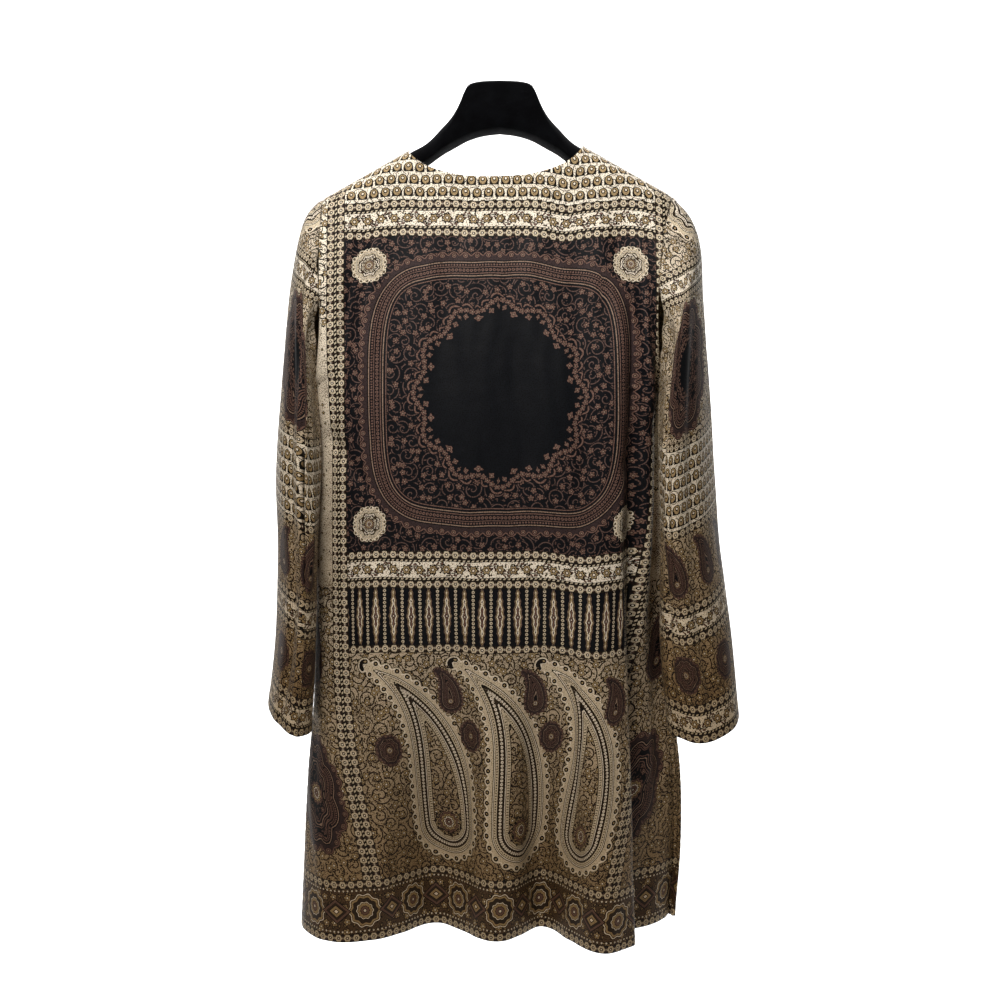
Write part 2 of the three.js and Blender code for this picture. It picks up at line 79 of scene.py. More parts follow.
# Armhole seam seen from the front: distance from the middle at its top, mid and under points
ARMHOLE_LINE = {
    "left": {"top": 204, "mid": 204, "under": 212},
    "right": {"top": 199, "mid": 179, "under": 184},
}

# Folds that grow down to the hem: place, drift, width, depth outwards (+) or inwards (-), start height
FOLDS = {
    "back": [
        (184, 8, 28, 10, -560),
        (74, -6, 42, -60, -520),
        (10, 4, 26, 7, -600),
        (-48, 10, 27, -48, -560),
        (-112, 12, 30, 40, -420),
    ],
    "front_left": [(58, 6, 26, -14, -480), (120, -8, 30, 22, -430), (178, -6, 24, -12, -560)],
    "front_right": [(-48, 4, 22, -12, -540), (-104, -6, 28, 24, -400), (-158, 8, 24, -14, -520)],
}
LAP = {"at": -144, "drift": 10, "width": 1.8, "spread": 5, "depth": 40, "from": -270, "growth": 0.8}
LIP = {"over": 9, "fades": 34}
FOLD_FADE = 0.1
LAP_FADE = 0.04

# Rings of each sleeve from the armhole to the cuff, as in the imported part
SLEEVE_RINGS = {
    "left": {
        "out": [204, 221, 233, 243, 252, 260, 258, 259, 266],
        "z_out": [-135, -153, -186, -240, -330, -440, -545, -640, -716],
        "in": [212, 213, 212, 210, 207, 206, 206, 208, 213],
        "z_in": [-350, -358, -368, -384, -420, -490, -565, -655, -736],
        "y": [0, 2, 4, 6, 8, 10, 12, 14, 15],
        "deep": [40, 47, 54, 61, 66, 65, 62, 61, 60],
        "lean": [0, 2, 5, 9, 13, 15, 15, 14, 10],
        "drop": [0, 0, 2, 4, 6, 8, 12, 22, 32],
    },
    "right": {
        "out": [199, 219, 232, 236, 243, 250, 255, 264, 270],
        "z_out": [-135, -156, -190, -242, -330, -440, -535, -630, -722],
        "in": [184, 186, 186, 184, 181, 181, 182, 183, 188],
        "z_in": [-350, -358, -368, -384, -420, -490, -555, -645, -732],
        "y": [0, 3, 6, 9, 13, 17, 22, 28, 36],
        "deep": [40, 47, 54, 60, 64, 62, 60, 58, 56],
        "lean": [0, 4, 9, 15, 22, 26, 25, 17, 4],
        "drop": [0, 0, 2, 4, 6, 8, 14, 28, 42],
    },
}

# Troughs down each sleeve: angle round it (0 outer, 90 back, 180 inner), width, depth as a share, start
SLEEVE_TROUGHS = {
    "left": [(62, 18, 0.07, 0.25), (128, 16, 0.06, 0.1), (285, 20, 0.07, 0.3)],
    "right": [(128, 16, 0.07, 0.15), (60, 20, 0.04, 0.35), (290, 20, 0.07, 0.3)],
}
TROUGH_START = 0.2
SLEEVE_TURNED = 2.5
SLEEVE_BOW_GONE = 3
CAP_BLEND = 0.4

# Hanger stations by distance from its middle: top, bottom, half depth and height of its arched top
HANGER = {
    "x": [0, 14, 26, 36, 41.5, 47, 55, 67, 84, 105, 150, 176, 184, 188],
    "top": [0, -0.4, -1.5, -5, -14, -27, -41, -54.5, -71.2, -83, -107.7, -122.5, -129, -137],
    "bottom": [-59, -60.5, -63, -66.5, -69, -72, -76.5, -83.5, -96, -109, -134, -149, -151, -149],
    "half": [20, 20, 20, 20, 20.5, 21, 21.5, 21, 19.6, 19.8, 21.2, 20.5, 17, 11],
    "arch": [7, 7, 7, 7, 8, 10, 13, 17.5, 21.5, 22, 21, 21, 16, 7],
}
HANGER_UNDER_ARCH = 4


def along(table, column, value, key=None):
    """Smooth value between table rows (Catmull-Rom), by a key column or, without one, by row number."""
    values = np.array(table[column], float)
    value = np.asarray(value, float)
    last = len(values) - 1
    if key:
        keys = np.array(table[key], float)
        sign = -1.0 if keys[0] > keys[-1] else 1.0
        i = np.clip(np.searchsorted(sign * keys, sign * value, side="left") - 1, 0, last - 1)
        t = (value - keys[i]) / (keys[i + 1] - keys[i])
    else:
        i = np.clip(np.floor(value).astype(int), 0, last - 1)
        t = value - i
    t = np.clip(t, 0, 1)
    a, b, c, d = (values[np.clip(i + n, 0, last)] for n in (-1, 0, 1, 2))
    bend = t * (2 * a - 5 * b + 4 * c - d + t * (3 * b - a - 3 * c + d))
    return b + 0.5 * t * (c - a + bend)


def rise(value, start, end):
    """0 before start, 1 after end and a smooth S between: 3t^2 - 2t^3."""
    t = np.clip((np.asarray(value, float) - start) / (end - start), 0, 1)
    return t * t * (3 - 2 * t)


def ridge(x):
    """Height of the shoulder line over the hanger, straight down from the neck point."""
    return SHOULDER["z"] - SHOULDER["slope"] * (np.abs(x) - SHOULDER["x"])


def back_top(x):
    """The back's top edge: the shoulder line outside the neck points, and between them a chord less a
    flat-bottomed dip, dip * (1 - |x / reach|^fullness)^corner."""
    reach = np.where(x > 0, NECK["left"], NECK["right"])
    share = (x + NECK["right"]) / (NECK["left"] + NECK["right"])
    chord = ridge(NECK["right"]) + share * (ridge(NECK["left"]) - ridge(NECK["right"]))
    inside = np.clip(1 - (np.abs(x) / reach) ** NECK["fullness"], 0, 1)
    return np.where(np.abs(x) >= reach, ridge(x), chord - NECK["dip"] * inside ** NECK["corner"])


def roll(x, z):
    """How far the cloth has rolled over the round shoulder: a quarter circle, 0 at the ridge and 1 below."""
    r = SHOULDER["roll"]
    below = np.clip(ridge(x) - z, 0, r)
    return np.sqrt(r * r - (r - below) ** 2) / r


def folds_out(name, x, z):
    """Sum of the folds: depth * growth * exp(-t^2), with t the distance from a fold's drifting line."""
    total = np.zeros_like(x)
    for at, drift, width, depth, start in FOLDS[name]:
        grown = rise(z, start, HEM["z"])
        t = (x - at - drift * (1 - grown)) / width
        total += depth * grown * np.exp(-t * t)
    return total


def lap_out(x, z):
    """The step behind the lap: a tanh across its edge that sharpens towards the hem."""
    grown = rise(z, LAP["from"], HEM["z"]) ** LAP["growth"]
    t = (x - LAP["at"] - LAP["drift"] * (1 - grown)) / (LAP["width"] + LAP["spread"] * (1 - grown))
    return -LAP["depth"] * grown * 0.5 * (1 - np.tanh(t))


def lip_over(x, z):
    """The lap's edge hangs over the step behind it: a push of over * (1 + tanh t) / 2 that fades away."""
    grown = rise(z, LAP["from"], HEM["z"]) ** LAP["growth"]
    away = x - LAP["at"] - LAP["drift"] * (1 - grown)
    t = away / (LAP["width"] + LAP["spread"] * (1 - grown))
    fading = np.exp(-((np.clip(away, 0, None) / LIP["fades"]) ** 2))
    return -LIP["over"] * grown * 0.5 * (1 + np.tanh(t)) * fading


def armhole_top(side):
    return ridge(TIP[side])


def panel_edge(side, facing, z):
    """Edge of a body panel by height: above the underarm a half ellipse in depth with x = mid + pull c^2,
    and below it the side seam from the girth table."""
    line = ARMHOLE_LINE[side]
    middle = (armhole_top(side) + ARMHOLE["under"]) / 2
    half = (armhole_top(side) - ARMHOLE["under"]) / 2
    c = np.clip((z - middle) / half, -1, 1)
    pull = np.where(c > 0, line["top"] - line["mid"], line["under"] - line["mid"])
    above = z >= ARMHOLE["under"]
    x = np.where(above, line["mid"] + pull * c * c, along(GIRTH, side, z, "z"))
    y = np.where(above, facing * ARMHOLE["deep"] * np.sqrt(1 - c * c), along(GIRTH, "seam_" + side, z, "z"))
    return (x if side == "left" else -x), y


def body_point(name, s, z, z_edge):
    """Outer surface of a body panel at a share s of the half width: x = |s| * edge, and a depth that bulges
    from the edge's to the middle's by sqrt(1 - |s|^square), plus the folds."""
    facing = 1 if name == "back" else -1
    left = panel_edge("left", facing, z_edge)
    right = panel_edge("right", facing, z_edge)
    edge_x = np.where(s >= 0, left[0], right[0])
    edge_y = np.where(s >= 0, left[1], right[1])
    x = np.abs(s) * edge_x
    square = along(GIRTH, "square", z_edge, "z")
    middle = along(GIRTH, "back" if facing > 0 else "front", z, "z") * roll(x, z)
    bulge = np.sqrt(np.clip(1 - np.abs(s) ** square, 0, 1))
    y = edge_y + (middle - edge_y) * bulge
    y = y + folds_out(name, x, z) * rise(1 - np.abs(s), 0, FOLD_FADE)
    if facing > 0:
        y = y + lap_out(x, z) * rise(1 - np.abs(s), 0, LAP_FADE)
        x = x + lip_over(x, z)
    return np.stack([x, y, np.broadcast_to(z, x.shape)], -1)


def hem_height(y):
    """The hem hangs a little lower where the cloth swings to the back."""
    return HEM["z"] - HEM["swing"] * (y - HEM["level"])


def centre_edge(side, z):
    """Distance of a front's centre edge from the middle: a V curve at the neck, then a gap that opens."""
    neck = NECK[side]
    below = np.clip(ridge(neck) - z - FRONT_EDGE["straight"], 0, None)
    opening = rise(z, FRONT_EDGE["parts"], HEM["z"])
    gap = FRONT_EDGE["gap_top"] + (FRONT_EDGE["gap_hem"] - FRONT_EDGE["gap_top"]) * opening
    left = np.clip(1 - below / FRONT_EDGE["depth"], 0, 1)
    return gap + (neck - gap) * left ** FRONT_EDGE["curve"]


# Grids of the cloth shells: columns round or across, rows down
GRIDS = {"back": (164, 250), "front_left": (84, 250), "front_right": (84, 250), "sleeve": (84, 196)}

# Where the creases fade out: from a seam edge, below the shoulder line and below a sleeve's armhole
EDGE_FADE = (2, 26)
SHOULDER_FADE = (0, 30)
CAP_FADE = (3, 30)

# A sleeve's radius, as millimetres a degree and a radian, and the share of the ripples that it has
SLEEVE_ROUND = {"crease": 1.05, "seam": 0.75, "ripple": 42}
SLEEVE_RIPPLE = 0.8
UNDER_SEAM_FADE = (3, 20)

# Points across a panel before it is cut into even columns, and thickness of the cloth
DENSE = 700
CLOTH = 0.6

# A panel's rows are level up to this drop, and a higher power leaves fewer rows to squeeze at the top
NOMINAL_DROP = 850
TOP_ROWS = 12

# Main creases of the body panels: start x and z, end x and z, width, depth (- a trough)
CREASES = {
    "back": [
        (150, -150, 176, -330, 9, -3.0),
        (168, -210, 188, -420, 8, -2.6),
        (120, -190, 140, -470, 16, -2.2),
        (60, -215, 78, -560, 20, -2.0),
        (-20, -260, -6, -600, 22, -1.8),
        (-84, -170, -98, -520, 16, -2.4),
        (-128, -150, -150, -300, 9, -3.2),
        (-150, -230, -164, -460, 8, -2.8),
        (196, -400, 150, -470, 10, -2.0),
        (-172, -380, -138, -455, 10, -2.4),
        (170, -560, 160, -930, 14, -3.4),
        (128, -640, 132, -960, 10, 2.6),
        (40, -620, 44, -950, 12, -3.0),
        (-16, -700, -20, -960, 11, 2.8),
        (-76, -600, -84, -950, 9, -3.2),
        (-178, -520, -190, -900, 10, -3.4),
        (-150, -210, -152, -790, 5, -6.0),
        (-167, -230, -162, -640, 9, 6.5),
        (-183, -240, -180, -560, 6, -4.0),
        (-134, -240, -136, -520, 8, 2.2),
        (96, -480, 70, -620, 14, 1.6),
        (-40, -440, -64, -600, 14, 1.8),
    ],
    "front_left": [
        (112, -130, 60, -330, 14, -2.6),
        (150, -160, 150, -420, 12, -3.0),
        (184, -200, 186, -430, 8, -2.4),
        (90, -330, 84, -700, 16, -2.4),
        (40, -420, 34, -900, 10, 2.4),
        (150, -560, 156, -940, 12, -3.2),
        (196, -560, 204, -930, 10, -2.6),
    ],
    "front_right": [
        (-106, -130, -56, -340, 14, -2.6),
        (-142, -160, -148, -430, 12, -3.0),
        (-166, -200, -168, -400, 8, -2.4),
        (-84, -350, -76, -680, 16, -2.4),
        (-36, -440, -30, -920, 10, 2.4),
        (-136, -560, -144, -930, 12, -3.2),
        (-180, -560, -190, -930, 10, -2.6),
    ],
}

# Main creases of the sleeves: start angle and distance down, end angle and distance down, width (mm), depth
SLEEVE_CREASES = {
    "left": [
        (84, 110, 92, 590, 5, -4.6),
        (76, 130, 83, 570, 6, 2.6),
        (70, 20, 84, 210, 10, -3.0),
        (108, 40, 118, 330, 9, -3.4),
        (40, 120, 56, 420, 10, -2.4),
        (92, 260, 76, 470, 8, -2.8),
        (128, 300, 112, 420, 9, 2.2),
        (60, 400, 48, 590, 9, -2.6),
        (104, 430, 110, 600, 10, -2.6),
        (212, 60, 206, 300, 12, -3.0),
        (166, 10, 166, 380, 14, 3.4),
        (-60, 30, -80, 260, 12, -2.8),
        (-110, 60, -96, 420, 12, -3.0),
        (-50, 330, -64, 590, 12, -2.6),
        (-130, 300, -140, 560, 12, -2.6),
    ],
    "right": [
        (124, 120, 132, 560, 6, -4.0),
        (66, 20, 74, 190, 10, -2.6),
        (100, 30, 122, 300, 9, -3.4),
        (36, 150, 50, 440, 10, -2.2),
        (88, 280, 98, 520, 8, -2.8),
        (134, 260, 120, 400, 9, 2.0),
        (56, 420, 68, 600, 9, -2.6),
        (112, 420, 104, 590, 10, -2.4),
        (210, 60, 206, 280, 12, -3.0),
        (164, 10, 166, 560, 14, 3.8),
        (-58, 40, -74, 280, 12, -2.8),
        (-112, 60, -100, 400, 12, -3.0),
        (-54, 340, -60, 580, 12, -2.6),
        (-134, 300, -136, 540, 12, -2.6),
    ],
}

CREASE_SCALE = 1.7

# Soft ripples that every hanging cloth has besides: wavelengths across and down, and height
RIPPLES = [(63, 410, 0.55, 0.4), (37, 260, 0.35, 2.1), (22, 170, 0.18, 4.4)]

# Seam valley, its puckers, and the turned hem's extra thickness
SEAM_VALLEY = {"width": 3.0, "depth": 0.9, "pucker": 0.28, "pitch": 11}
HEM_TURN = {"width": 12, "height": 0.35}


def crease_out(table, a, b, across):
    """Sum of the creases: a Gaussian across each line from start to end, with soft ends. across turns a step
    in the first coordinate to millimetres."""
    total = np.zeros_like(a)
    for a0, b0, a1, b1, width, depth in table:
        share = (b - b0) / (b1 - b0)
        t = (a - a0 - (a1 - a0) * share) * across / width
        total += depth * np.exp(-t * t) * rise(share, -0.12, 0.3) * rise(-share, -1.12, -0.7)
    return total * CREASE_SCALE


def ripple_out(u, v, phase):
    """Three crossed sine ripples of uneven wavelengths."""
    total = np.zeros_like(u)
    for across, down, height, shift in RIPPLES:
        total += height * np.sin(TURN * u / across + shift + phase + 1.7 * np.sin(TURN * v / down + phase))
    return total


def normals(points, closed):
    """Unit normals of a grid from its differences along rows and down columns."""
    if closed:
        across = np.roll(points, -1, 1) - np.roll(points, 1, 1)
    else:
        across = np.gradient(points, axis=1)
    made = np.cross(across, np.gradient(points, axis=0))
    return made / np.maximum(np.linalg.norm(made, axis=-1, keepdims=True), 1e-9)


def lengths(points, axis):
    """Arc length along an axis of a grid, from its start."""
    steps = np.linalg.norm(np.diff(points, axis=axis), axis=-1)
    pad = [(0, 0), (0, 0)]
    pad[axis] = (1, 0)
    return np.pad(np.cumsum(steps, axis=axis), pad)


def even_columns(dense, columns):
    """The rows of a dense grid cut into columns evenly spaced by arc length, and the length of each row. All
    rows are looked up at once, laid end to end."""
    arc = lengths(dense, 1)
    rows, across = arc.shape
    line = np.arange(rows)[:, None]
    start = line * (arc.max() + 1)
    wanted = np.linspace(0, 1, columns + 1)[None, :] * arc[:, -1:]
    pick = np.interp((wanted + start).ravel(), (arc + start).ravel(), np.arange(rows * across) * 1.0)
    pick = pick.reshape(wanted.shape) - line * across
    low = np.clip(np.floor(pick).astype(int), 0, across - 2)
    part = (pick - low)[..., None]
    return dense[line, low] * (1 - part) + dense[line, low + 1] * part, arc[:, -1]


def panel_surface(name):
    """A body panel's outer surface, with columns evenly spaced by arc length in each row and rows at equal
    heights above the hem, which squeeze together only under the shoulder. Gives points, u, v and the
    lengths of the rows."""
    facing = 1 if name == "back" else -1
    columns, rows = GRIDS[name]
    side = name.split("_")[-1]
    down = np.linspace(0, 1, rows + 1)[:, None]
    if facing > 0:
        s = np.sin(np.linspace(-1, 1, DENSE + 1) * math.pi / 2)[None, :]
        top = back_top(np.where(s >= 0, s * TIP["left"], s * TIP["right"]))
    else:
        share = np.linspace(0, 1, DENSE + 1)[None, :]
        neck, tip = NECK[side], TIP[side]
        top = ridge(neck + share * (tip - neck))
        s = share if side == "left" else -share[:, ::-1]
        top = top if side == "left" else top[:, ::-1]
    flat = np.full_like(s, HEM["z"])
    swing = body_point(name, np.clip(s, -1, 1), flat, flat)[..., 1]
    hem = hem_height(swing)
    drop = top - hem
    height = (1 - down) * NOMINAL_DROP + (drop - NOMINAL_DROP) * (1 - down) ** TOP_ROWS
    fall = 1 - height / drop
    z = top - fall * drop
    ends = {own: panel_edge(own, 1, np.array(HEM["z"])) for own in ("left", "right")}
    z_edge = np.empty_like(z)
    for own in ("left", "right"):
        high = armhole_top(own)
        low = hem_height(ends[own][1])
        mask = np.broadcast_to((s >= 0) if own == "left" else (s < 0), z.shape)
        z_edge = np.where(mask, high - fall * (high - low), z_edge)
    if facing < 0:
        sign = 1 if side == "left" else -1
        width = np.abs(panel_edge(side, -1, z_edge)[0])
        z_line = z[:, :1] if side == "left" else z[:, -1:]
        inner = centre_edge(side, z_line) / width
        s = sign * (inner + np.abs(s) * (1 - inner))
    s = np.broadcast_to(s, z.shape)
    points, widths = even_columns(body_point(name, s, z, z_edge), columns)
    # Print coordinates leave out how far a row slopes and a column leans
    round_row = lengths(points * np.array([1, 1, 0]), 1)
    if facing > 0:
        zero = np.array([np.interp(0.0, x_row, u_row) for x_row, u_row in zip(points[..., 0], round_row)])
        u = round_row - zero[:, None]
    else:
        u = round_row if side == "left" else round_row[:, -1:] - round_row
    v_down = lengths(points * np.array([0, 1, 1]), 0)
    return points, u, v_down[-1:] - v_down, widths


def side_edge(name, points):
    """Distance in millimetres of each grid point from the panel's seam edges, along its row."""
    arc = lengths(points, 1)
    if name == "back":
        return np.minimum(arc, arc[:, -1:] - arc)
    return arc[:, -1:] - arc if name.endswith("left") else arc


def sleeve_surface(side):
    """A sleeve's outer surface: an oval in each ring, its axes from the ring table, pulled in along its
    troughs, and turned into the armhole seam over the first part of the sleeve. Gives points, u, v and the
    angle of each column."""
    columns, rows = GRIDS["sleeve"]
    sign = 1 if side == "left" else -1
    rings = SLEEVE_RINGS[side]
    last = len(rings["out"]) - 1
    line = ARMHOLE_LINE[side]
    middle = (armhole_top(side) + ARMHOLE["under"]) / 2
    half = (armhole_top(side) - ARMHOLE["under"]) / 2
    spread = np.linspace(0, last, 400)
    travel = lengths(np.stack([along(rings, c, spread) for c in ("out", "z_out", "y")], -1)[:, None], 0)[:, 0]
    step = np.interp(np.linspace(0, travel[-1], rows + 1), travel, spread)[:, None]
    angle = (np.arange(columns)[None, :] / columns - 0.5) * TURN
    get = {c: along(rings, c, step) for c in rings}
    pressed = 0
    degrees = np.degrees(angle) % 360
    for at, width, depth, start in SLEEVE_TROUGHS[side]:
        grown = rise(step / last, start, start + TROUGH_START)
        pressed = pressed + depth * grown * np.exp(-(((degrees - at) / width) ** 2))
    cos = np.cos(angle) * (1 - pressed)
    sin = np.sin(angle) * (1 - pressed)
    half_width = (get["out"] - get["in"]) / 2
    start = rise(step, 0, SLEEVE_TURNED)
    leaning = np.sqrt(np.clip(half_width**2 - get["lean"] ** 2, 0, None))
    across = start * leaning + (1 - start) * half_width
    bow = (line["mid"] - (line["top"] + line["under"]) / 2) * (1 - rise(step, 0, SLEEVE_BOW_GONE)) * sin**2
    x = (get["out"] + get["in"]) / 2 + across * cos - get["lean"] * sin + bow
    y = get["y"] + get["deep"] * sin
    z = (get["z_out"] + get["z_in"]) / 2 + (get["z_out"] - get["z_in"]) / 2 * cos - get["drop"] / 2 * sin
    c = np.cos(angle)
    pull = np.where(c > 0, line["top"] - line["mid"], line["under"] - line["mid"])
    seam = np.stack([line["mid"] + pull * c * c, ARMHOLE["deep"] * np.sin(angle), middle + half * c], -1)
    ring = np.stack(np.broadcast_arrays(x, y, z), -1)
    ring = ring + (seam - ring[:1]) * (1 - rise(step, 0, CAP_BLEND))[..., None]
    points = ring * np.array([sign, 1, 1])
    closed = np.concatenate([points, points[:, :1]], 1)
    round_ring = lengths(closed, 1)
    outer = columns // 2
    u = round_ring - round_ring[:, outer : outer + 1]
    v_down = lengths(closed, 0)
    return points, u, v_down[-1:] - v_down, angle


def hem_and_seam(out, v, edge, u_along):
    """Adds the turned hem's step and the puckered valley beside a seam to the outward moves."""
    out = out + HEM_TURN["height"] * (1 - rise(v, HEM_TURN["width"] - 1, HEM_TURN["width"] + 2))
    valley = np.exp(-((edge / SEAM_VALLEY["width"]) ** 2))
    near = np.exp(-((edge / (4 * SEAM_VALLEY["width"])) ** 2)) - valley
    pucker = SEAM_VALLEY["pucker"] * np.sin(TURN * u_along / SEAM_VALLEY["pitch"] + np.sin(u_along / 23))
    return out - SEAM_VALLEY["depth"] * valley + pucker * near


def cloth_mesh(name, points, faces_cut, closed):
    """A grid as a mesh of quads, with its print coordinates stored on the corners of the faces."""
    rows, columns = points.shape[:2]
    spans = columns if closed else columns - 1
    j, k = np.meshgrid(np.arange(rows - 1), np.arange(spans), indexing="ij")
    after = (k + 1) % columns
    above, below = j * columns, (j + 1) * columns
    quads = np.stack([above + k, below + k, below + after, above + after], -1)
    mesh = bpy.data.meshes.new(name)
    mesh.from_pydata((points.reshape(-1, 3) * MM).tolist(), [], quads.reshape(-1, 4).tolist())
    for key, grid in faces_cut.items():
        attribute = mesh.attributes.new(key, "FLOAT_VECTOR", "CORNER")
        attribute.data.foreach_set("vector", grid.reshape(-1).astype(np.float32))
    mesh.polygons.foreach_set("use_smooth", np.ones(len(mesh.polygons), bool))
    mesh.update()
    return mesh


def corners(grid):
    """The values of a grid at the four corners of each of its faces, in the order of cloth_mesh."""
    return np.stack([grid[:-1, :-1], grid[1:, :-1], grid[1:, 1:], grid[:-1, 1:]], -1)


# Styles of the print's bands with their widths: a chain, a vine between chains, a hatched rail, the border
BAND = {"chain": (1, 9), "vine": (2, 42), "rail": (3, 20), "border": (4, 68)}

# A band is looked up this far past its edges, so that the shader can cut it there exactly
BAND_REACH = 5

GROUND = {"light": 0, "dark": 1, "plain": 2, "rows": 3, "tall": 4, "pale": 5}

# Pitch of the scallops round a motif, the half width at which its rings have their full size, and the least
# share of it
OUTLINE_PITCH = 13.0
RING_SIZE = 40
RING_LEAST = 0.42

# A face takes the motif whose line this far inside the outline is nearest to it, within the margin
OUTLINE_REACH = 4
MOTIF_MARGIN = 20

# Half width from which a motif's lobes are soft, and the depth at which its inner ground starts
SOFT_LOBES = 60
INNER_GROUND = 3

# The value that stands for no motif and no band
NONE = -99.0

# The print of each panel. grounds: kind, u from, u to, v from, v to. strips run down and bands across:
# style, start, from, to; their ends and the grounds' edges lie under a band. motifs: outline, u, v, half
# width, height, curl in degrees, inner ground, and palette (0 light, 1 dark, 2 the plain centre's).
PRINTS = {
    "back": {
        "grounds": [
            ("pale", 189, 400, 395, 700),
            ("pale", -400, -189, 395, 700),
            ("tall", -189, 189, 326, 416),
            ("dark", -189, 189, 416, 815),
            ("rows", -189, 189, 815, 1000),
        ],
        "strips": [("rail", 176, 34, 1000), ("rail", -196, 34, 1000)],
        "bands": [
            ("border", 0, -400, 400),
            ("chain", 322, -189, 189),
            ("vine", 395, -189, 189),
            ("vine", 794, -189, 189),
        ],
        "motifs": [
            ("cartouche", 0, 615, 150, 152, 0, "dark", 1),
            ("lobed", 0, 615, 97, 106, 0, "plain", 2),
            *[("lobed", u, v, 17, 17, 0, "dark", 0) for v in (763, 467) for u in (148, -148)],
            *[("boteh", u, 121, 37, 215, 70, "light", 0) for u in (-128, -26, 76)],
            ("lobed", -64, 226, 12, 15, 0, "dark", 1),
            ("lobed", 38, 226, 12, 15, 0, "dark", 1),
            ("lobed", 138, 212, 12, 15, 0, "dark", 1),
            ("boteh", -142, 262, 10, 42, 70, "dark", 1),
            ("boteh", -42, 264, 10, 42, 70, "dark", 1),
            ("boteh", 60, 264, 10, 42, 70, "dark", 1),
            ("boteh", 236, 300, 18, 90, 60, "dark", 1),
            ("boteh", -236, 300, 18, 90, -60, "dark", 1),
            *[("lobed", u, 160, 36, 58, 0, "dark", 1) for u in (242, -242)],
        ],
    },
    "front": {
        "grounds": [("tall", 13, 400, 326, 416), ("rows", 13, 400, 721, 1000)],
        "strips": [("rail", 0, 34, 1000)],
        "bands": [
            ("border", 0, -50, 400),
            ("chain", 322, 13, 400),
            *[("vine", v, 13, 400) for v in (395, 700)],
        ],
        "motifs": [
            ("lobed", 120, 566, 70, 100, 0, "dark", 1),
            ("lobed", 120, 566, 34, 48, 0, "plain", 2),
            *[("boteh", u, 121, 34, 200, 66, "light", 0) for u in (76, 176)],
            ("boteh", 46, 262, 10, 46, -70, "dark", 1),
            ("boteh", 150, 268, 11, 46, -70, "dark", 1),
        ],
    },
    "sleeve": {
        "grounds": [("rows", -400, 400, 230, 326)],
        "strips": [],
        "bands": [
            ("vine", 0, -400, 400),
            ("vine", 108, -400, 400),
            ("chain", 226, -400, 400),
            ("chain", 322, -400, 400),
            ("vine", 491, -400, 400),
        ],
        "motifs": [
            *[("lobed", u, 411, 52, 70, 0, "dark", 1) for u in (62, -76)],
            *[("lobed", u, 411, 24, 34, 0, "plain", 2) for u in (62, -76)],
            *[("boteh", u, 176, 12, 46, 60, "dark", 1) for u in (84, 32, -20, -72)],
            *[("lobed", u, 75, 15, 18, 0, "dark", 1) for u in (92, 30, -32, -94)],
            ("lobed", 0, 580, 44, 36, 0, "light", 0),
        ],
    },
}


def outline(kind, half_width, height, curl):
    """A motif's closed outline about its middle. boteh: a drop of half width w cos(pi s / 2)^1.15 along a
    spine that bends by curl * s^2, with a round base. lobed: an oval with inward cusps or, where it is
    large, soft waves. cartouche: a superellipse."""
    if kind == "boteh":
        s = np.linspace(0, 1, 81)
        heading = math.pi / 2 - math.radians(curl) * s * s
        spine = np.cumsum(np.stack([np.cos(heading), np.sin(heading)], -1), 0) * height / 80
        wide = half_width * np.cos(math.pi / 2 * s) ** 1.15
        aside = np.stack([np.sin(heading), -np.cos(heading)], -1) * wide[:, None]
        base = np.linspace(math.pi, TURN, 41)[1:-1]
        low = half_width * np.stack([np.cos(base), np.sin(base)], -1)
        return np.concatenate([spine + aside, (spine - aside)[-2::-1], low])
    t = np.linspace(0, TURN, 361)[:-1]
    x, y = np.cos(t), np.sin(t)
    if kind == "lobed":
        g = 0.86 + 0.14 * np.abs(np.sin(4 * t)) if half_width < SOFT_LOBES else 0.95 + 0.05 * np.cos(12 * t)
    else:
        g = 1.0
        x, y = np.sign(x) * np.abs(x) ** 0.5, np.sign(y) * np.abs(y) ** 0.5
    return np.stack([half_width * g * x, height * g * y], -1)


def outline_coordinates(loop, u, v, ring):
    """Signed distance inwards and arc length along the nearest point of a closed outline, both in ring sizes,
    with a whole number of pitches round it. Inside is by the even-odd rule."""
    after = np.roll(loop, -1, 0)
    run = np.linalg.norm(after - loop, axis=1)
    start = np.concatenate([[0], np.cumsum(run)[:-1]])
    whole = run.sum()
    scale = max(round(whole / ring / OUTLINE_PITCH), 1) * OUTLINE_PITCH / whole
    best = np.full(u.shape, 1e9)
    place = np.zeros(u.shape)
    inside = np.zeros(u.shape, bool)
    for (x0, y0), (x1, y1), size, begun in zip(loop, after, run, start):
        dx, dy = x1 - x0, y1 - y0
        share = np.clip(((u - x0) * dx + (v - y0) * dy) / max(size * size, 1e-9), 0, 1)
        gap = np.hypot(u - x0 - share * dx, v - y0 - share * dy)
        closer = gap < best
        best = np.where(closer, gap, best)
        place = np.where(closer, (begun + share * size) * scale, place)
        if y0 != y1:
            crosses = ((y0 > v) != (y1 > v)) & (u < x0 + (v - y0) / (y1 - y0) * dx)
            inside ^= crosses
    # A face that spans the outline's start runs on past the end
    ends = place.max(-1, keepdims=True) - place > whole * scale / 2
    place = np.where(ends, place + whole * scale, place)
    return np.where(inside, best, -best) / ring, place


def banded(rows, across, run):
    """The band of each face, as (across, style, width) at its corners, or (NONE, 0, 0)."""
    made = np.stack(np.broadcast_arrays(NONE, 0.0, np.zeros(across.shape)), -1)
    for style, start, low, high in rows:
        number, width = BAND[style]
        middle = across.mean(-1) - start
        near = (middle > -BAND_REACH) & (middle < width + BAND_REACH)
        near &= (run.mean(-1) > low) & (run.mean(-1) < high)
        near &= (middle >= 0) & (middle < width) | (made[..., 0, 1] == 0)
        values = np.stack(np.broadcast_arrays(across - start, float(number), float(width)), -1)
        made[near] = values[near]
    return made


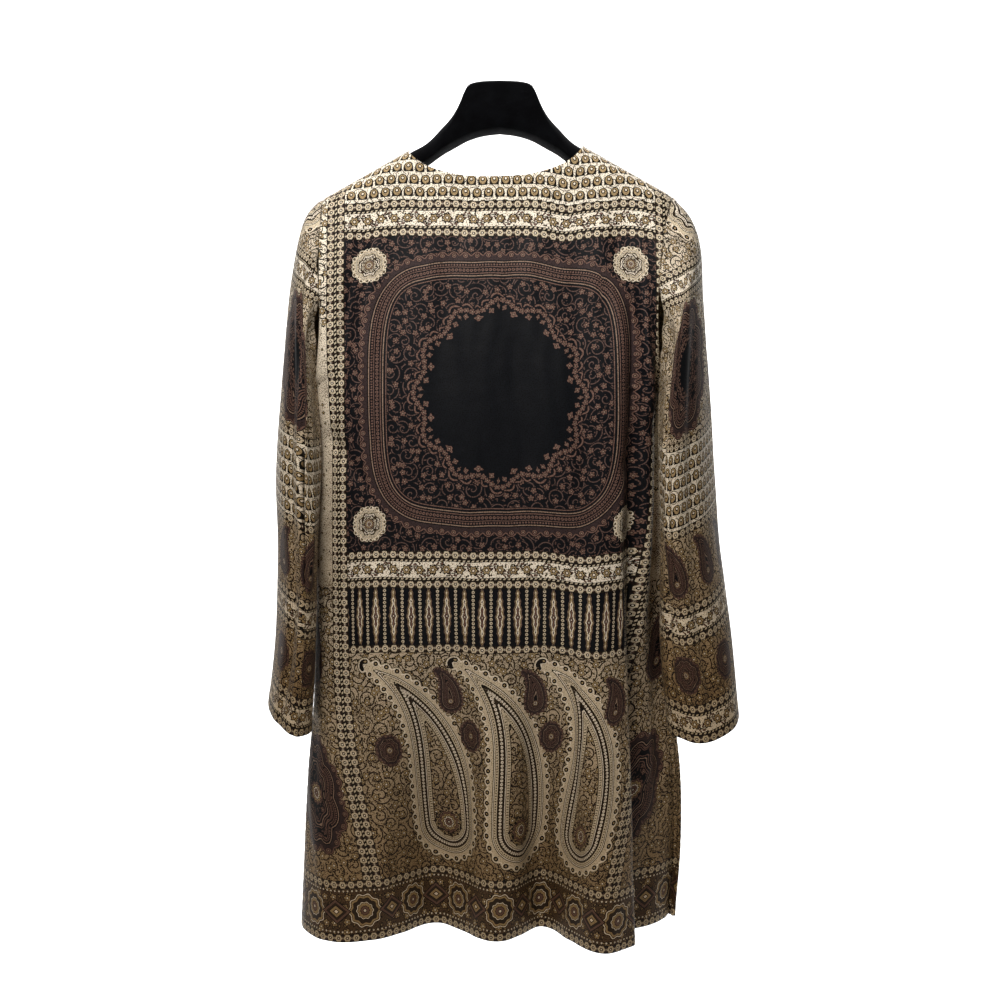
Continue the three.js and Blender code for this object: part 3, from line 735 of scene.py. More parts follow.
def print_coordinates(layout, u, v):
    """For each face corner, from the layout's tables: cut (u, v, ground), strip and band (across, style,
    width), motif (distance inwards, arc length, palette) and eye (place from the motif's middle, its size).
    Each face takes one of each kind, by its middle, so that no face mixes two."""
    plan = PRINTS[layout]
    u, v = corners(u), corners(v)
    mid_u, mid_v = u.mean(-1), v.mean(-1)
    ground = np.zeros(mid_u.shape)
    for kind, u0, u1, v0, v1 in plan["grounds"]:
        ground[(mid_u > u0) & (mid_u < u1) & (mid_v >= v0) & (mid_v < v1)] = GROUND[kind]
    motif = np.stack(np.broadcast_arrays(NONE, 0.0, np.zeros(u.shape)), -1)
    eye = np.zeros(motif.shape)
    nearest = np.full(mid_u.shape, -NONE)
    for kind, u0, v0, half_width, height, curl, inner, palette in plan["motifs"]:
        reach = half_width + height + MOTIF_MARGIN
        close = (np.abs(mid_u - u0) < reach) & (np.abs(mid_v - v0) < reach)
        ring = min(max(half_width / RING_SIZE, RING_LEAST), 1)
        loop = outline(kind, half_width, height, curl)
        inwards, place = outline_coordinates(loop, u[close] - u0, v[close] - v0, ring)
        middle = inwards.mean(-1)
        part = ground[close]
        part[middle > INNER_GROUND] = GROUND[inner]
        ground[close] = part
        gap = np.abs(middle - OUTLINE_REACH) * ring
        wins = gap < nearest[close]
        taken = np.zeros(close.shape, bool)
        taken[close] = wins
        nearest[taken] = gap[wins]
        motif[taken] = np.stack(np.broadcast_arrays(inwards, place, float(palette)), -1)[wins]
        size = float(min(half_width, height))
        eye[taken] = np.stack(np.broadcast_arrays(u[close] - u0, v[close] - v0, size), -1)[wins]
    cut = np.stack([u, v, np.repeat(ground[..., None], 4, -1)], -1)
    strip, band = banded(plan["strips"], u, v), banded(plan["bands"], v, u)
    return {"cut": cut, "strip": strip, "band": band, "motif": motif, "eye": eye}


def linear(code):
    """An sRGB hex colour as linear red, green, blue and full alpha."""
    values = np.array([int(code[i : i + 2], 16) / 255 for i in (1, 3, 5)])
    low = values / 12.92
    high = ((values + 0.055) / 1.055) ** 2.4
    return (*np.where(values <= 0.04045, low, high).tolist(), 1.0)


class Field:
    """A value that varies over a surface: a node's output. Arithmetic on it adds the nodes for it."""

    def __init__(self, tree, socket):
        self.tree = tree
        self.socket = socket

    def out(self, name):
        return Field(self.tree, self.socket.node.outputs[name])


ARITHMETIC = {
    "__add__": "ADD",
    "__sub__": "SUBTRACT",
    "__mul__": "MULTIPLY",
    "__truediv__": "DIVIDE",
    "__pow__": "POWER",
    "__abs__": "ABSOLUTE",
    "__gt__": "GREATER_THAN",
    "__lt__": "LESS_THAN",
}


def worked_out(operation):
    """The method of a field that stands for one operation of the table above."""
    return lambda field, *others: add(field.tree, "Math", (field, *others), operation=operation)


for method, operation in ARITHMETIC.items():
    setattr(Field, method, worked_out(operation))


def add(tree, kind, inputs=(), out=0, stops=None, **settings):
    """Adds one node: its settings, the stops of a colour ramp, and its inputs in order or by name, each
    linked to a field or set to a value or a hex colour. Gives the field of its output."""
    node = tree.nodes.new("ShaderNode" + kind)
    for name, value in settings.items():
        setattr(node, name, value)
    if stops:
        ramp = node.color_ramp
        ramp.interpolation = "CONSTANT"
        for i, (place, code) in enumerate(stops):
            stop = ramp.elements[0] if i == 0 else ramp.elements.new(place)
            stop.position = place
            stop.color = (0, 0, 0, 0) if code is None else linear(code)
        while len(ramp.elements) > len(stops):
            ramp.elements.remove(ramp.elements[-1])
    pairs = inputs.items() if isinstance(inputs, dict) else enumerate(inputs)
    for key, value in pairs:
        if isinstance(value, Field):
            tree.links.new(value.socket, node.inputs[key])
        else:
            node.inputs[key].default_value = linear(value) if isinstance(value, str) else value
    return Field(tree, node.outputs[out] if len(node.outputs) else None)


def laid(mask, under, over):
    """Colours laid one over the other: over where the mask is 1 and under where it is 0."""
    return add(mask.tree, "Mix", {0: mask, 6: under, 7: over}, out=2, data_type="RGBA")


def printed(under, place, span, stops):
    """One screen of the print: colour steps by distance, place / span, laid over what is there. A step with
    no colour leaves the ground open."""
    inks = [(step / span, code) for step, code in stops]
    screen = add(place.tree, "ValToRGB", (place / span,), stops=inks)
    return laid(screen.out("Alpha"), under, screen)


def coordinates(tree, name):
    """An attribute of the cloth: the whole of it and its three values."""
    whole = add(tree, "Attribute", attribute_name=name, out="Vector")
    first = add(tree, "SeparateXYZ", (whole,))
    return whole, first, first.out("Y"), first.out("Z")


def length_of(a, b):
    """Distance from a point to the middle of its repeat: sqrt(a^2 + b^2)."""
    return (a * a + b * b) ** 0.5


def petalled(a, b, lobes, depth, turn=0.0):
    """Distance from a middle drawn out into lobes: sqrt(a^2 + b^2) / (1 + depth cos(lobes angle + turn))."""
    angle = add(a.tree, "Math", (b, a), operation="ARCTAN2") * lobes + turn
    return length_of(a, b) / (add(a.tree, "Math", (angle,), operation="COSINE") * depth + 1)


def scattered(place, pitch):
    """Points strewn about a pitch apart: place from the nearest one, and a random value of that one."""
    inputs = {"Vector": place, "Scale": 1 / pitch, "Randomness": 0.8}
    cells = add(place.tree, "TexVoronoi", inputs, voronoi_dimensions="2D")
    offset = add(place.tree, "VectorMath", (place, cells.out("Position")), operation="SUBTRACT")
    offset = add(place.tree, "SeparateXYZ", (offset,))
    return offset, offset.out("Y"), cells.out("Color")


def wrapped(value, pitch, shift=0.0):
    """Place within a repeat, from minus to plus half a pitch."""
    return add(value.tree, "Math", (value + shift, pitch / 2, -pitch / 2), operation="WRAP")


# Inks of the print
INK = "#16120F"
BLACK = "#0C0E12"
NIGHT = "#191317"
AUBERGINE = "#352A2A"
PLUM = "#574540"
ROSE = "#6A5249"
SHELL = "#8A7465"
OCHRE = "#9C8764"
TAN = "#C4B79F"
CREAM = "#E6DCCB"
BARK = "#33291F"

# Inks of the grounds, each with the ink of its speckles
# The sand's first ink, at the hem, is darker than its second, at the top: painted shade of the light falling
# off from above
SAND_SHADED_LOW, SAND_HIGH, SAND_SPECK = "#988365", "#E8DECB", "#4C3D2C"
PALE_SPECK = "#8C7A5C"
IVORY, IVORY_SPECK = "#E4DCCC", "#B4A790"
UMBER, UMBER_SPECK = "#5A4834", "#30261D"

# What the print is multiplied by at the hem, at the top and in its speckles: a painted shade that darkens it
# towards the hem as the light from above falls off, and darker specks of grain
PAINTED_SHADE_LOW, PAINTED_SHADE_HIGH, WORN_SPECK = "#BFB2A0", "#FFFFFF", "#9A8C7C"

# Colour steps of each motif: distance from its middle or edge in millimetres, and ink (None is open)
FLORET = [(0, CREAM), (0.9, INK), (1.6, OCHRE), (3.1, INK), (4.1, None)]
DARK_FLORET = [(0, SHELL), (0.8, BLACK), (1.3, ROSE), (2.9, BLACK), (4.4, None)]
LEAF = [(0, OCHRE), (0.8, INK), (1.8, None)]
DARK_LEAF = [(0, "#5A4640"), (1.15, None)]
DROP = [(0, CREAM), (1.2, INK), (2.2, OCHRE), (3.8, INK), (5.1, None)]
SPINDLE = [(0, CREAM), (0.6, INK), (1.2, ROSE), (2.3, INK), (2.9, CREAM), (3.8, OCHRE), (4.8, INK),
           (5.4, SHELL), (5.9, None)]
CHAIN = [(0, CREAM), (0.8, INK), (1.8, TAN), (3.8, INK), (4.4, None)]
LINK = [(0, CREAM), (0.8, INK), (1.3, ROSE), (2.0, None)]
ROUNDEL = [(0, CREAM), (1.4, INK), (2.2, ROSE), (4.6, INK), (5.4, OCHRE), (8.0, INK), (8.6, CREAM),
           (9.4, INK), (10.2, BARK), (13.6, INK), (14.2, OCHRE), (16.4, INK), (17.2, CREAM), (18.2, INK),
           (19.0, None)]
LOZENGE = [(0, CREAM), (1.2, INK), (2.0, OCHRE), (4.0, INK), (4.6, BARK), (6.2, ROSE), (8.0, INK),
           (8.8, None)]
BEAD = [(0, CREAM), (1.0, INK), (1.5, None)]
LIGHT_RING = [(0, None), (2, INK), (3, TAN), (4, CREAM), (5, TAN), (9.8, INK), (10.7, CREAM), (11.7, INK),
              (12.5, TAN), (16.5, INK), (17.5, BARK), (23.6, INK), (24.6, CREAM), (25.6, INK), (26.4, TAN),
              (30.4, INK), (31.4, None)]
DARK_RING = [(0, None), (2, BLACK), (3, ROSE), (4.2, AUBERGINE), (9.4, BLACK), (10.8, SHELL), (12, BLACK),
             (16.4, ROSE), (17.4, BLACK), (23.6, ROSE), (24.6, BLACK), (26.4, SHELL), (27.4, BLACK),
             (30, ROSE), (31, BLACK), (32, None)]
PLAIN_RING = [(0, None), (3, BLACK), (4, ROSE), (5.4, BLACK), (17, None)]
# A rosette's steps are shares of its motif's size
ROSETTE = [(0, CREAM), (0.02, INK), (0.05, ROSE), (0.11, INK), (0.13, CREAM), (0.16, INK), (0.19, OCHRE),
           (0.24, INK), (0.26, ROSE), (0.31, INK), (0.33, None)]

# Repeats in millimetres. The grain of the screen is 1.25 mm, drawn as coarse as it needs to show
GRAIN = 1.25
CLOUD = 34
PITCH = {"floret": 14, "leaf": 8, "scroll": 19, "coil": 6, "row": 14, "drop": 13, "spindle": 20, "tall": 64,
         "bead": 4.4, "chain": 10, "hatch": 5, "vine": 15, "roundel": 66}

# Span of most colour ramps, of the rings' and of the border's
SPAN, RING_SPAN, ROUNDEL_SPAN, LOZENGE_SPAN = 8, 48, 24, 16


class Cut:
    """Fields over the flat cloth that the parts of the print share: place, zone, grain and strewn sprigs."""

    def __init__(self, tree):
        self.tree = tree
        self.place, self.u, self.v, self.zone = coordinates(tree, "cut")
        self.height = add(tree, "MapRange", {0: self.v, 1: 60.0, 2: 820.0})
        flat = {"noise_dimensions": "2D"}
        self.cloud = add(tree, "TexNoise", {"Vector": self.place, "Scale": 1 / CLOUD, "Detail": 1.0}, **flat)
        self.grain = add(tree, "TexNoise", {"Vector": self.place, "Scale": 1 / GRAIN, "Detail": 1.0}, **flat)
        a, b, chance = scattered(self.place, PITCH["floret"])
        self.floret = petalled(a, b, 5, 0.25, chance * 9)
        a, b, chance = scattered(self.place, PITCH["leaf"])
        self.leaf = petalled(a, b, 2, 0.55, chance * 40)
        a, b, chance = scattered(self.place, PITCH["scroll"])
        angle = add(tree, "Math", (b, a), operation="ARCTAN2")
        coil = angle / TURN + length_of(a, b) / PITCH["coil"] + chance
        self.scroll = add(tree, "Math", (coil, 0.5), operation="PINGPONG") * PITCH["coil"]
        self.night = laid(self.grain > 0.6, BLACK, NIGHT)
        self.ivory = laid(self.grain > 0.58, IVORY, IVORY_SPECK)


def light_ground(cut):
    """Sand, darker towards the hem as a painted shade of the light falling off from above, and speckled like
    a dithered screen, with scrolls, leaves and florets.
    Gives it and the pale ground, which has fewer florets and neither scrolls nor leaves."""
    # Painted shade: the sand grades darker from the top down to the hem
    base = laid(cut.height, SAND_SHADED_LOW, SAND_HIGH)
    base = laid((cut.grain + cut.cloud * 0.5 > 0.83) * 0.8, base, SAND_SPECK)
    light = printed(base, cut.scroll, SPAN, [(0, INK), (0.7, None)])
    light = printed(light, cut.leaf + cut.height * 0.9, SPAN, LEAF)
    pale = laid((cut.grain > 0.6) * 0.5, base, PALE_SPECK)
    return printed(light, cut.floret, SPAN, FLORET), printed(pale, cut.floret + cut.cloud * 6, SPAN, FLORET)


def dark_ground(cut):
    """Scrolls, leaves and florets in rose on black."""
    dark = printed(cut.night, cut.leaf, SPAN, DARK_LEAF)
    dark = printed(dark, cut.scroll, SPAN, [(0, PLUM), (0.6, BLACK), (1.5, None)])
    return printed(dark, cut.floret, SPAN, DARK_FLORET)


def rows_ground(cut):
    """Rows of small drops, each row half a pitch along from the last."""
    row = add(cut.tree, "Math", (cut.v / PITCH["row"],), operation="FLOOR")
    a = wrapped(cut.u + row * (PITCH["drop"] / 2), PITCH["drop"])
    b = wrapped(cut.v, PITCH["row"], PITCH["row"] / 2)
    rows = printed(cut.ivory, cut.scroll, SPAN, [(0, INK), (0.4, None)])
    return printed(rows, length_of(a, b) * (b * 0.06 + 1), SPAN, DROP)


def tall_ground(cut):
    """Tall spindles with chains of beads between them, on black."""
    b = wrapped(cut.v - 363, PITCH["tall"])
    beaded = abs(add(cut.tree, "Math", (b * (math.pi / 9),), operation="SINE")) * 1.1
    tall = printed(cut.night, abs(wrapped(cut.u, PITCH["spindle"])) + abs(b) * 0.12 + beaded, SPAN, SPINDLE)
    bead = length_of(wrapped(cut.u, PITCH["spindle"], PITCH["spindle"] / 2), wrapped(cut.v, PITCH["bead"]))
    return printed(tall, bead, SPAN, [(0, INK), (0.6, TAN), (1.7, None)])


def grounds(cut):
    """The ground of each zone, in the order of their numbers."""
    ground, pale = light_ground(cut)
    others = [dark_ground(cut), BLACK, rows_ground(cut), tall_ground(cut), pale]
    for number, other in enumerate(others):
        ground = laid(cut.zone > number + 0.5, ground, other)
    return ground


def motifs(cut, ground):
    """Rings of the large motifs, scalloped outside and smooth inside, with rows of discs, dots and beads, and
    a rosette with rays at each motif's middle."""
    tree = cut.tree
    _, inwards, place, palette = coordinates(tree, "motif")
    scallop = abs(add(tree, "Math", (place * (math.pi / OUTLINE_PITCH),), operation="SINE"))
    outside = add(tree, "MapRange", {0: inwards, 1: -1.0, 2: -8.0})
    step = inwards + scallop * outside * 4 + 9
    fourths = wrapped(place, OUTLINE_PITCH / 4)
    disc = length_of(wrapped(place, OUTLINE_PITCH, OUTLINE_PITCH / 2), inwards + 5.4)
    dot = length_of(fourths, inwards - 5.5)
    bead = length_of(wrapped(place, OUTLINE_PITCH / 3), inwards - 11.5)
    dash = length_of(fourths * 2, (inwards - 19.6) * 0.8)

    pale = printed(ground, step, RING_SPAN, LIGHT_RING)
    pale = printed(pale, disc, SPAN, [(0, OCHRE), (1.1, INK), (2.9, CREAM), (3.4, None)])
    pale = printed(pale, dot, SPAN, [(0, INK), (0.8, None)])
    pale = printed(pale, bead, SPAN, [(0, INK), (0.5, CREAM), (1.7, None)])
    pale = printed(pale, dash, SPAN, [(0, INK), (1.1, None)])

    deep = printed(ground, step, RING_SPAN, DARK_RING)
    deep = printed(deep, disc, SPAN, [(0, SHELL), (0.8, BLACK), (1.4, ROSE), (2.7, BLACK), (3.3, None)])
    deep = printed(deep, dot, SPAN, [(0, ROSE), (1.1, None)])
    deep = printed(deep, bead, SPAN, [(0, BLACK), (0.6, ROSE), (1.8, None)])

    plain = printed(ground, step, RING_SPAN, PLAIN_RING)
    petals = petalled(wrapped(place, OUTLINE_PITCH / 2), inwards + 0.5, 5, 0.25)
    plain = printed(plain, petals, SPAN, DARK_FLORET)
    petals = petalled(wrapped(place, OUTLINE_PITCH, OUTLINE_PITCH / 2), inwards - 6.5, 4, 0.25)
    plain = printed(plain, petals, SPAN, DARK_FLORET)
    motif = laid(palette > 1.5, laid(palette > 0.5, pale, deep), plain)

    _, aside, up, size = coordinates(tree, "eye")
    off = (palette > 1.5) + (inwards < 2)
    reach = petalled(aside, up, 11, 0.1) / (size + 0.01)
    motif = printed(motif, reach + off, 1, ROSETTE)
    rays = add(tree, "Math", (up, aside), operation="ARCTAN2") * 22
    rays = (add(tree, "Math", (rays,), operation="COSINE") < 0.2) + off
    return printed(motif, reach + rays, 1, [(0, None), (0.36, INK), (0.44, None)])


def bands(cut, under):
    """Strips down the cloth lie over bands across it, and the hem's border over both. Chains run along every
    edge, and between them lies a vine, hatching or the border's row of roundels and lozenges."""
    tree = cut.tree
    strip, across, _, width = coordinates(tree, "strip")
    on_strip = (across > 0) * (across < width)
    band, across, style, width = coordinates(tree, "band")
    on_band = (across > 0) * (across < width)
    down = on_strip * (on_band * (style > 3.5) < 0.5)
    across = add(tree, "SeparateXYZ", (laid(down, band, strip),))
    style, width = across.out("Y"), across.out("Z")
    run = cut.u + (cut.v - cut.u) * down
    middle = across - width * 0.5
    edge = add(tree, "Math", (across, width * 0.5), operation="PINGPONG")

    link = laid(cut.grain > 0.55, INK, BARK)
    from_link = abs(wrapped(run, PITCH["chain"], PITCH["chain"] / 2)) * 1.3 + abs(edge - 4.5) * 0.8
    link = printed(link, from_link, SPAN, LINK)
    chain = printed(link, petalled(wrapped(run, PITCH["chain"]), edge - 4.5, 6, 0.07), SPAN, CHAIN)

    # The vine sways past a floret on either side of it, and has a sprig every 5 mm
    sway = add(tree, "Math", (run * (TURN / PITCH["vine"] / 2),), operation="SINE")
    sway = abs(middle - sway * 4.5)
    vine = printed(cut.ivory, cut.leaf + 0.4, SPAN, LEAF)
    sprig = petalled(wrapped(run, PITCH["vine"] / 3), sway - 2.6, 2, 0.4, 1.2)
    vine = printed(vine, sprig, SPAN, [(0, ROSE), (1.2, INK), (1.7, None)])
    vine = printed(vine, sway, SPAN, [(0, INK), (0.5, None)])
    vine = printed(vine, petalled(wrapped(run, PITCH["vine"]), middle, 6, 0.2), SPAN, DROP)
    hatch = laid(abs(wrapped(run + middle * 0.7, PITCH["hatch"])) > 1.3, INK, TAN)
    vine = laid(edge < 12, vine, hatch)
    vine = laid((edge < 9.8) + (edge > 11.6) * (edge < 12.2), vine, INK)

    border = laid((cut.grain > 0.5) * 0.7, UMBER, UMBER_SPECK)
    border = printed(printed(border, cut.leaf, SPAN, LEAF), cut.floret, SPAN, FLORET)
    roundel = petalled(wrapped(run, PITCH["roundel"]), middle, 10, 0.06)
    border = printed(border, roundel, ROUNDEL_SPAN, ROUNDEL)
    lozenge = (abs(wrapped(run, PITCH["roundel"], PITCH["roundel"] / 2)) * 0.8 + abs(middle)) * 0.62
    border = printed(border, lozenge, LOZENGE_SPAN, LOZENGE)
    border = printed(border, length_of(wrapped(run, 5), edge - 11.4), SPAN, BEAD)

    inner = laid(style > 2.5, vine, hatch)
    inner = laid(style > 3.5, inner, border)
    inner = laid(edge < BAND["chain"][1], inner, chain)
    return laid(on_strip + on_band, under, inner)


def print_colour(cut):
    """The satin's printed pattern, multiplied by a painted shade that darkens it towards the hem as the light
    from above falls off, and by darker specks of grain.
    """
    whole = bands(cut, motifs(cut, grounds(cut)))
    # Painted shade: the whole print darkens from the top down to the hem
    shade_and_speck = laid(add(cut.tree, "MapRange", {0: cut.v, 1: 40.0, 2: 620.0}), PAINTED_SHADE_LOW, PAINTED_SHADE_HIGH)
    shade_and_speck = laid(cut.grain > 0.6, shade_and_speck, WORN_SPECK)
    return add(cut.tree, "Mix", {0: 1.0, 6: whole, 7: shade_and_speck}, out=2, data_type="RGBA", blend_type="MULTIPLY")


def satin(name, faded):
    """Polyester satin, woven with long floats and screen printed. The floats give it a soft, broad sheen with
    no sharp highlight, and the print shows every thread's edge as grain. faded is how far the ground shows
    through, as it does on the reverse."""
    material = bpy.data.materials.new(name)
    material.use_nodes = True
    tree = material.node_tree
    tree.nodes.clear()
    cut = Cut(tree)
    colour = print_colour(cut)
    if faded:
        colour = add(tree, "Mix", {0: faded, 6: colour, 7: "#B5A58A"}, out=2, data_type="RGBA")
    coat = bpy.context.scene.coat_finish
    # Floats lie across the cloth: stretched noise at 0.9 mm, drawn coarse enough to show
    across = add(tree, "CombineXYZ", (cut.u * 0.35, cut.v * 1.1, 0.0))
    floats = add(tree, "TexNoise", {"Vector": across, "Scale": 1.0, "Detail": 3.0}, noise_dimensions="2D")
    # Soft crumples about 26 mm apart
    flat = add(tree, "CombineXYZ", (cut.u, cut.v, 0.0))
    crumple = add(tree, "TexNoise", {"Vector": flat, "Scale": 1 / 26, "Detail": 3.0})
    bump = add(tree, "Bump", {"Strength": 0.5, "Distance": 0.0016, "Height": crumple + floats * 0.1})
    smooth, rough = coat.satin_roughness - 0.05, coat.satin_roughness + 0.12
    rough = add(tree, "MapRange", {0: floats + cut.grain * 0.4, 1: 0.4, 2: 1.0, 3: smooth, 4: rough})
    settings = {
        "Base Color": colour,
        "Roughness": rough,
        "IOR": 1.5,
        "Specular IOR Level": 0.08,
        "Sheen Weight": coat.satin_sheen,
        "Sheen Roughness": 0.35,
        "Sheen Tint": "#F4EBD8",
        "Normal": bump,
    }
    shader = add(tree, "BsdfPrincipled", settings)
    add(tree, "OutputMaterial", {"Surface": shader})
    return material


def flocked():
    """Hard plastic with electrostatic flocking: short upright fibres swallow the light head on and catch it
    at grazing angles, so it reads black with soft grey edges."""
    material = bpy.data.materials.new("flocked_plastic_black")
    material.use_nodes = True
    tree = material.node_tree
    tree.nodes.clear()
    place = add(tree, "TexCoord", out="Object")
    fibres = add(tree, "TexNoise", {"Vector": place, "Scale": 1400.0, "Detail": 2.0})
    lint = add(tree, "TexNoise", {"Vector": place, "Scale": 60.0, "Detail": 5.0})
    shade = laid(add(tree, "MapRange", {0: lint, 1: 0.35, 2: 0.75}), "#020203", "#060709")
    bump = add(tree, "Bump", {"Strength": 0.5, "Distance": 0.0006, "Height": fibres})
    settings = {
        "Base Color": shade,
        "Roughness": 0.95,
        "Specular IOR Level": 0.03,
        "Sheen Weight": 0.1,
        "Sheen Roughness": 0.5,
        "Sheen Tint": "#9A9CA2",
        "Normal": bump,
    }
    add(tree, "OutputMaterial", {"Surface": add(tree, "BsdfPrincipled", settings)})
    return material


def plain_material(name, code, roughness):
    """Painted studio board or paper: one even colour with no gloss."""
    material = bpy.data.materials.new(name)
    material.use_nodes = True
    tree = material.node_tree
    tree.nodes.clear()
    grain = add(tree, "TexNoise", {"Vector": add(tree, "TexCoord", out="Object"), "Scale": 3.0})
    colour = laid(grain, code, "#FFFFFF")
    settings = {"Base Color": colour, "Roughness": roughness, "Specular IOR Level": 0.1}
    add(tree, "OutputMaterial", {"Surface": add(tree, "BsdfPrincipled", settings)})
    return material


def satin_pair():
    """The right side and the reverse of the cloth, made once and shared by every panel."""
    face = bpy.data.materials.get("printed_satin_face") or satin("printed_satin_face", 0.0)
    reverse = bpy.data.materials.get("printed_satin_reverse") or satin("printed_satin_reverse", 0.5)
    return face, reverse


def finish_cloth(name, mesh, node):
    """Puts a cloth mesh in the scene with its thickness and materials, on its body, in place of its node."""
    for material in satin_pair():
        mesh.materials.append(material)
    piece = bpy.data.objects.new(name, mesh)
    bpy.context.scene.collection.objects.link(piece)
    wall = piece.modifiers.new("thickness", "SOLIDIFY")
    wall.thickness = CLOTH * MM
    wall.offset = -1
    wall.material_offset = 1
    wall.material_offset_rim = 1
    wall.use_rim = True
    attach(piece, "root")
    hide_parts(node)
    return piece


def turned_out(mesh, middle):
    """Flips the faces if they point at the middle of the piece rather than away from it."""
    first = mesh.polygons[len(mesh.polygons) // 2]
    if first.normal.dot(first.center - Vector(middle) * MM) < 0:
        mesh.flip_normals()


def body_panel(name, phase):
    """One body panel as a thin shell: the surface of its solid, moved out by creases, ripples and seams. The
    top edge stays on the shoulder seam."""
    points, u, v, widths = panel_surface(name)
    facing = 1 if name == "back" else -1
    out = normals(points, False)
    out = out * np.where((out[..., 1:2].mean() * facing) > 0, 1.0, -1.0)
    edge = side_edge(name, points)
    lift = crease_out(CREASES[name], points[..., 0], points[..., 2], 1.0)
    below = ridge(points[..., 0]) - points[..., 2]
    lift = (lift + ripple_out(u, v, phase)) * rise(edge, *EDGE_FADE) * rise(below, *SHOULDER_FADE)
    lift = hem_and_seam(lift, v, edge, v)
    moved = points + out * lift[..., None]
    mesh = cloth_mesh(name, moved, print_coordinates("back" if facing > 0 else "front", u, v), False)
    turned_out(mesh, (0, 0, -500))
    return finish_cloth(name + "_cloth", mesh, name)


def sleeve_piece(side, phase):
    """One sleeve as a closed tube of thin cloth, with its creases across the elbow and down its length."""
    name = "sleeve_" + side
    points, u, v, angle = sleeve_surface(side)
    out = normals(points, True)
    middle = points.mean(1, keepdims=True)
    out = out * np.where(((points - middle) * out).sum() > 0, 1.0, -1.0)
    down = v.max() - v[:, :-1]
    degrees = np.degrees(np.broadcast_to(angle, down.shape))
    lift = 0
    for turn in (-360, 0, 360):
        lift = lift + crease_out(SLEEVE_CREASES[side], degrees + turn, down, SLEEVE_ROUND["crease"])
    ripples = ripple_out(angle * SLEEVE_ROUND["ripple"] + 0 * down, v[:, :-1], phase)
    lift = (lift + ripples * SLEEVE_RIPPLE) * rise(down, *CAP_FADE)
    lift = hem_and_seam(lift, v[:, :-1], down, u[:, :-1])
    seam = np.abs(np.abs(degrees) - 180) * SLEEVE_ROUND["seam"]
    valley = np.exp(-((seam / SEAM_VALLEY["width"]) ** 2)) * rise(down, *UNDER_SEAM_FADE)
    lift = lift - SEAM_VALLEY["depth"] * valley
    moved = points + out * lift[..., None]
    mesh = cloth_mesh(name, moved, print_coordinates("sleeve", u, v), True)
    turned_out(mesh, points[len(points) // 2].mean(0))
    return finish_cloth(name + "_cloth", mesh, name)


HANGER_GRID = (150, 44)


def hanger_surface():
    """The hanger's skin: a rounded section carried along its arms. Each section is an ellipse in depth whose
    upper half rises by its arch and whose lower half is almost flat, with smooth shoulders between them."""
    count = len(HANGER["x"]) - 1
    columns, around = HANGER_GRID
    step = np.linspace(-count, count, columns + 1)[:, None]
    get = {c: along(HANGER, c, np.abs(step)) for c in HANGER}
    angle = np.linspace(0, TURN, around + 1)[None, :-1]
    rising = np.sin(angle)
    top = get["top"] - get["arch"] * (1 - rising)
    bottom = get["bottom"] + HANGER_UNDER_ARCH * (1 + rising)
    blend = rise(rising, -0.12, 0.12)
    z = bottom + (top - bottom) * blend
    x = np.sign(step) * get["x"] + 0 * z
    return np.stack([x, get["half"] * np.cos(angle), z], -1)


def hanger_mesh():
    """The hanger's grid closed into one skin, with a fan over each end."""
    points = hanger_surface()
    columns, around = points.shape[:2]
    j, k = np.meshgrid(np.arange(columns - 1), np.arange(around), indexing="ij")
    after = (k + 1) % around
    quads = np.stack([j * around + k, (j + 1) * around + k, (j + 1) * around + after, j * around + after], -1)
    tips = points[[0, -1]].mean(1)
    vertices = np.concatenate([points.reshape(-1, 3), tips])
    ring = np.arange(around)
    follows = (ring + 1) % around
    last = (columns - 1) * around
    low_tip = np.full(around, columns * around)
    fans = np.concatenate([
        np.stack([ring, follows, low_tip], -1),
        np.stack([last + follows, last + ring, low_tip + 1], -1),
    ])
    mesh = bpy.data.meshes.new("hanger_flocked")
    mesh.from_pydata((vertices * MM).tolist(), [], quads.reshape(-1, 4).tolist() + fans.tolist())
    mesh.polygons.foreach_set("use_smooth", np.ones(len(mesh.polygons), bool))
    mesh.update()
    turned_out(mesh, (0, 0, -70))
    return mesh


class CoatFinish(bpy.types.PropertyGroup):
    """Finish of the coat's satin."""

    satin_roughness: bpy.props.FloatProperty(
        name="Satin roughness", description="Roughness of the satin's floats", default=0.5, min=0, max=1,
        subtype="FACTOR")
    satin_sheen: bpy.props.FloatProperty(
        name="Satin sheen", description="Sheen at grazing angles", default=0.01, min=0, max=1,
        subtype="FACTOR")


class StudioSetting(bpy.types.PropertyGroup):
    """Camera and lights of the studio."""

    distance: bpy.props.FloatProperty(
        name="Camera distance", description="From the hanger's middle to the camera", default=2.0, min=0.5,
        subtype="DISTANCE", unit="LENGTH")
    height: bpy.props.FloatProperty(
        name="Camera height", description="Height of the camera, at the coat's middle", default=-0.481,
        subtype="DISTANCE", unit="LENGTH")
    field: bpy.props.FloatProperty(
        name="Field", description="Width that the picture covers at the hanger", default=1.15, min=0.1,
        subtype="DISTANCE", unit="LENGTH")
    floor: bpy.props.FloatProperty(
        name="Floor height", description="Height of the floor under the hanging coat", default=-1.32,
        subtype="DISTANCE", unit="LENGTH")
    key_power: bpy.props.FloatProperty(
        name="Key light", description="Power of the soft light above the camera", default=34, min=0,
        subtype="POWER", unit="POWER")


class COAT_OT_hanger(bpy.types.Operator):
    """Makes the flocked hanger in place of its plain solid"""

    bl_idname = "coat.hanger"
    bl_label = "Hanger"

    def execute(self, context):
        mesh = hanger_mesh()
        mesh.materials.append(flocked())
        piece = bpy.data.objects.new("hanger_flocked", mesh)
        context.scene.collection.objects.link(piece)
        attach(piece, "root")
        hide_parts("hanger")
        return {"FINISHED"}


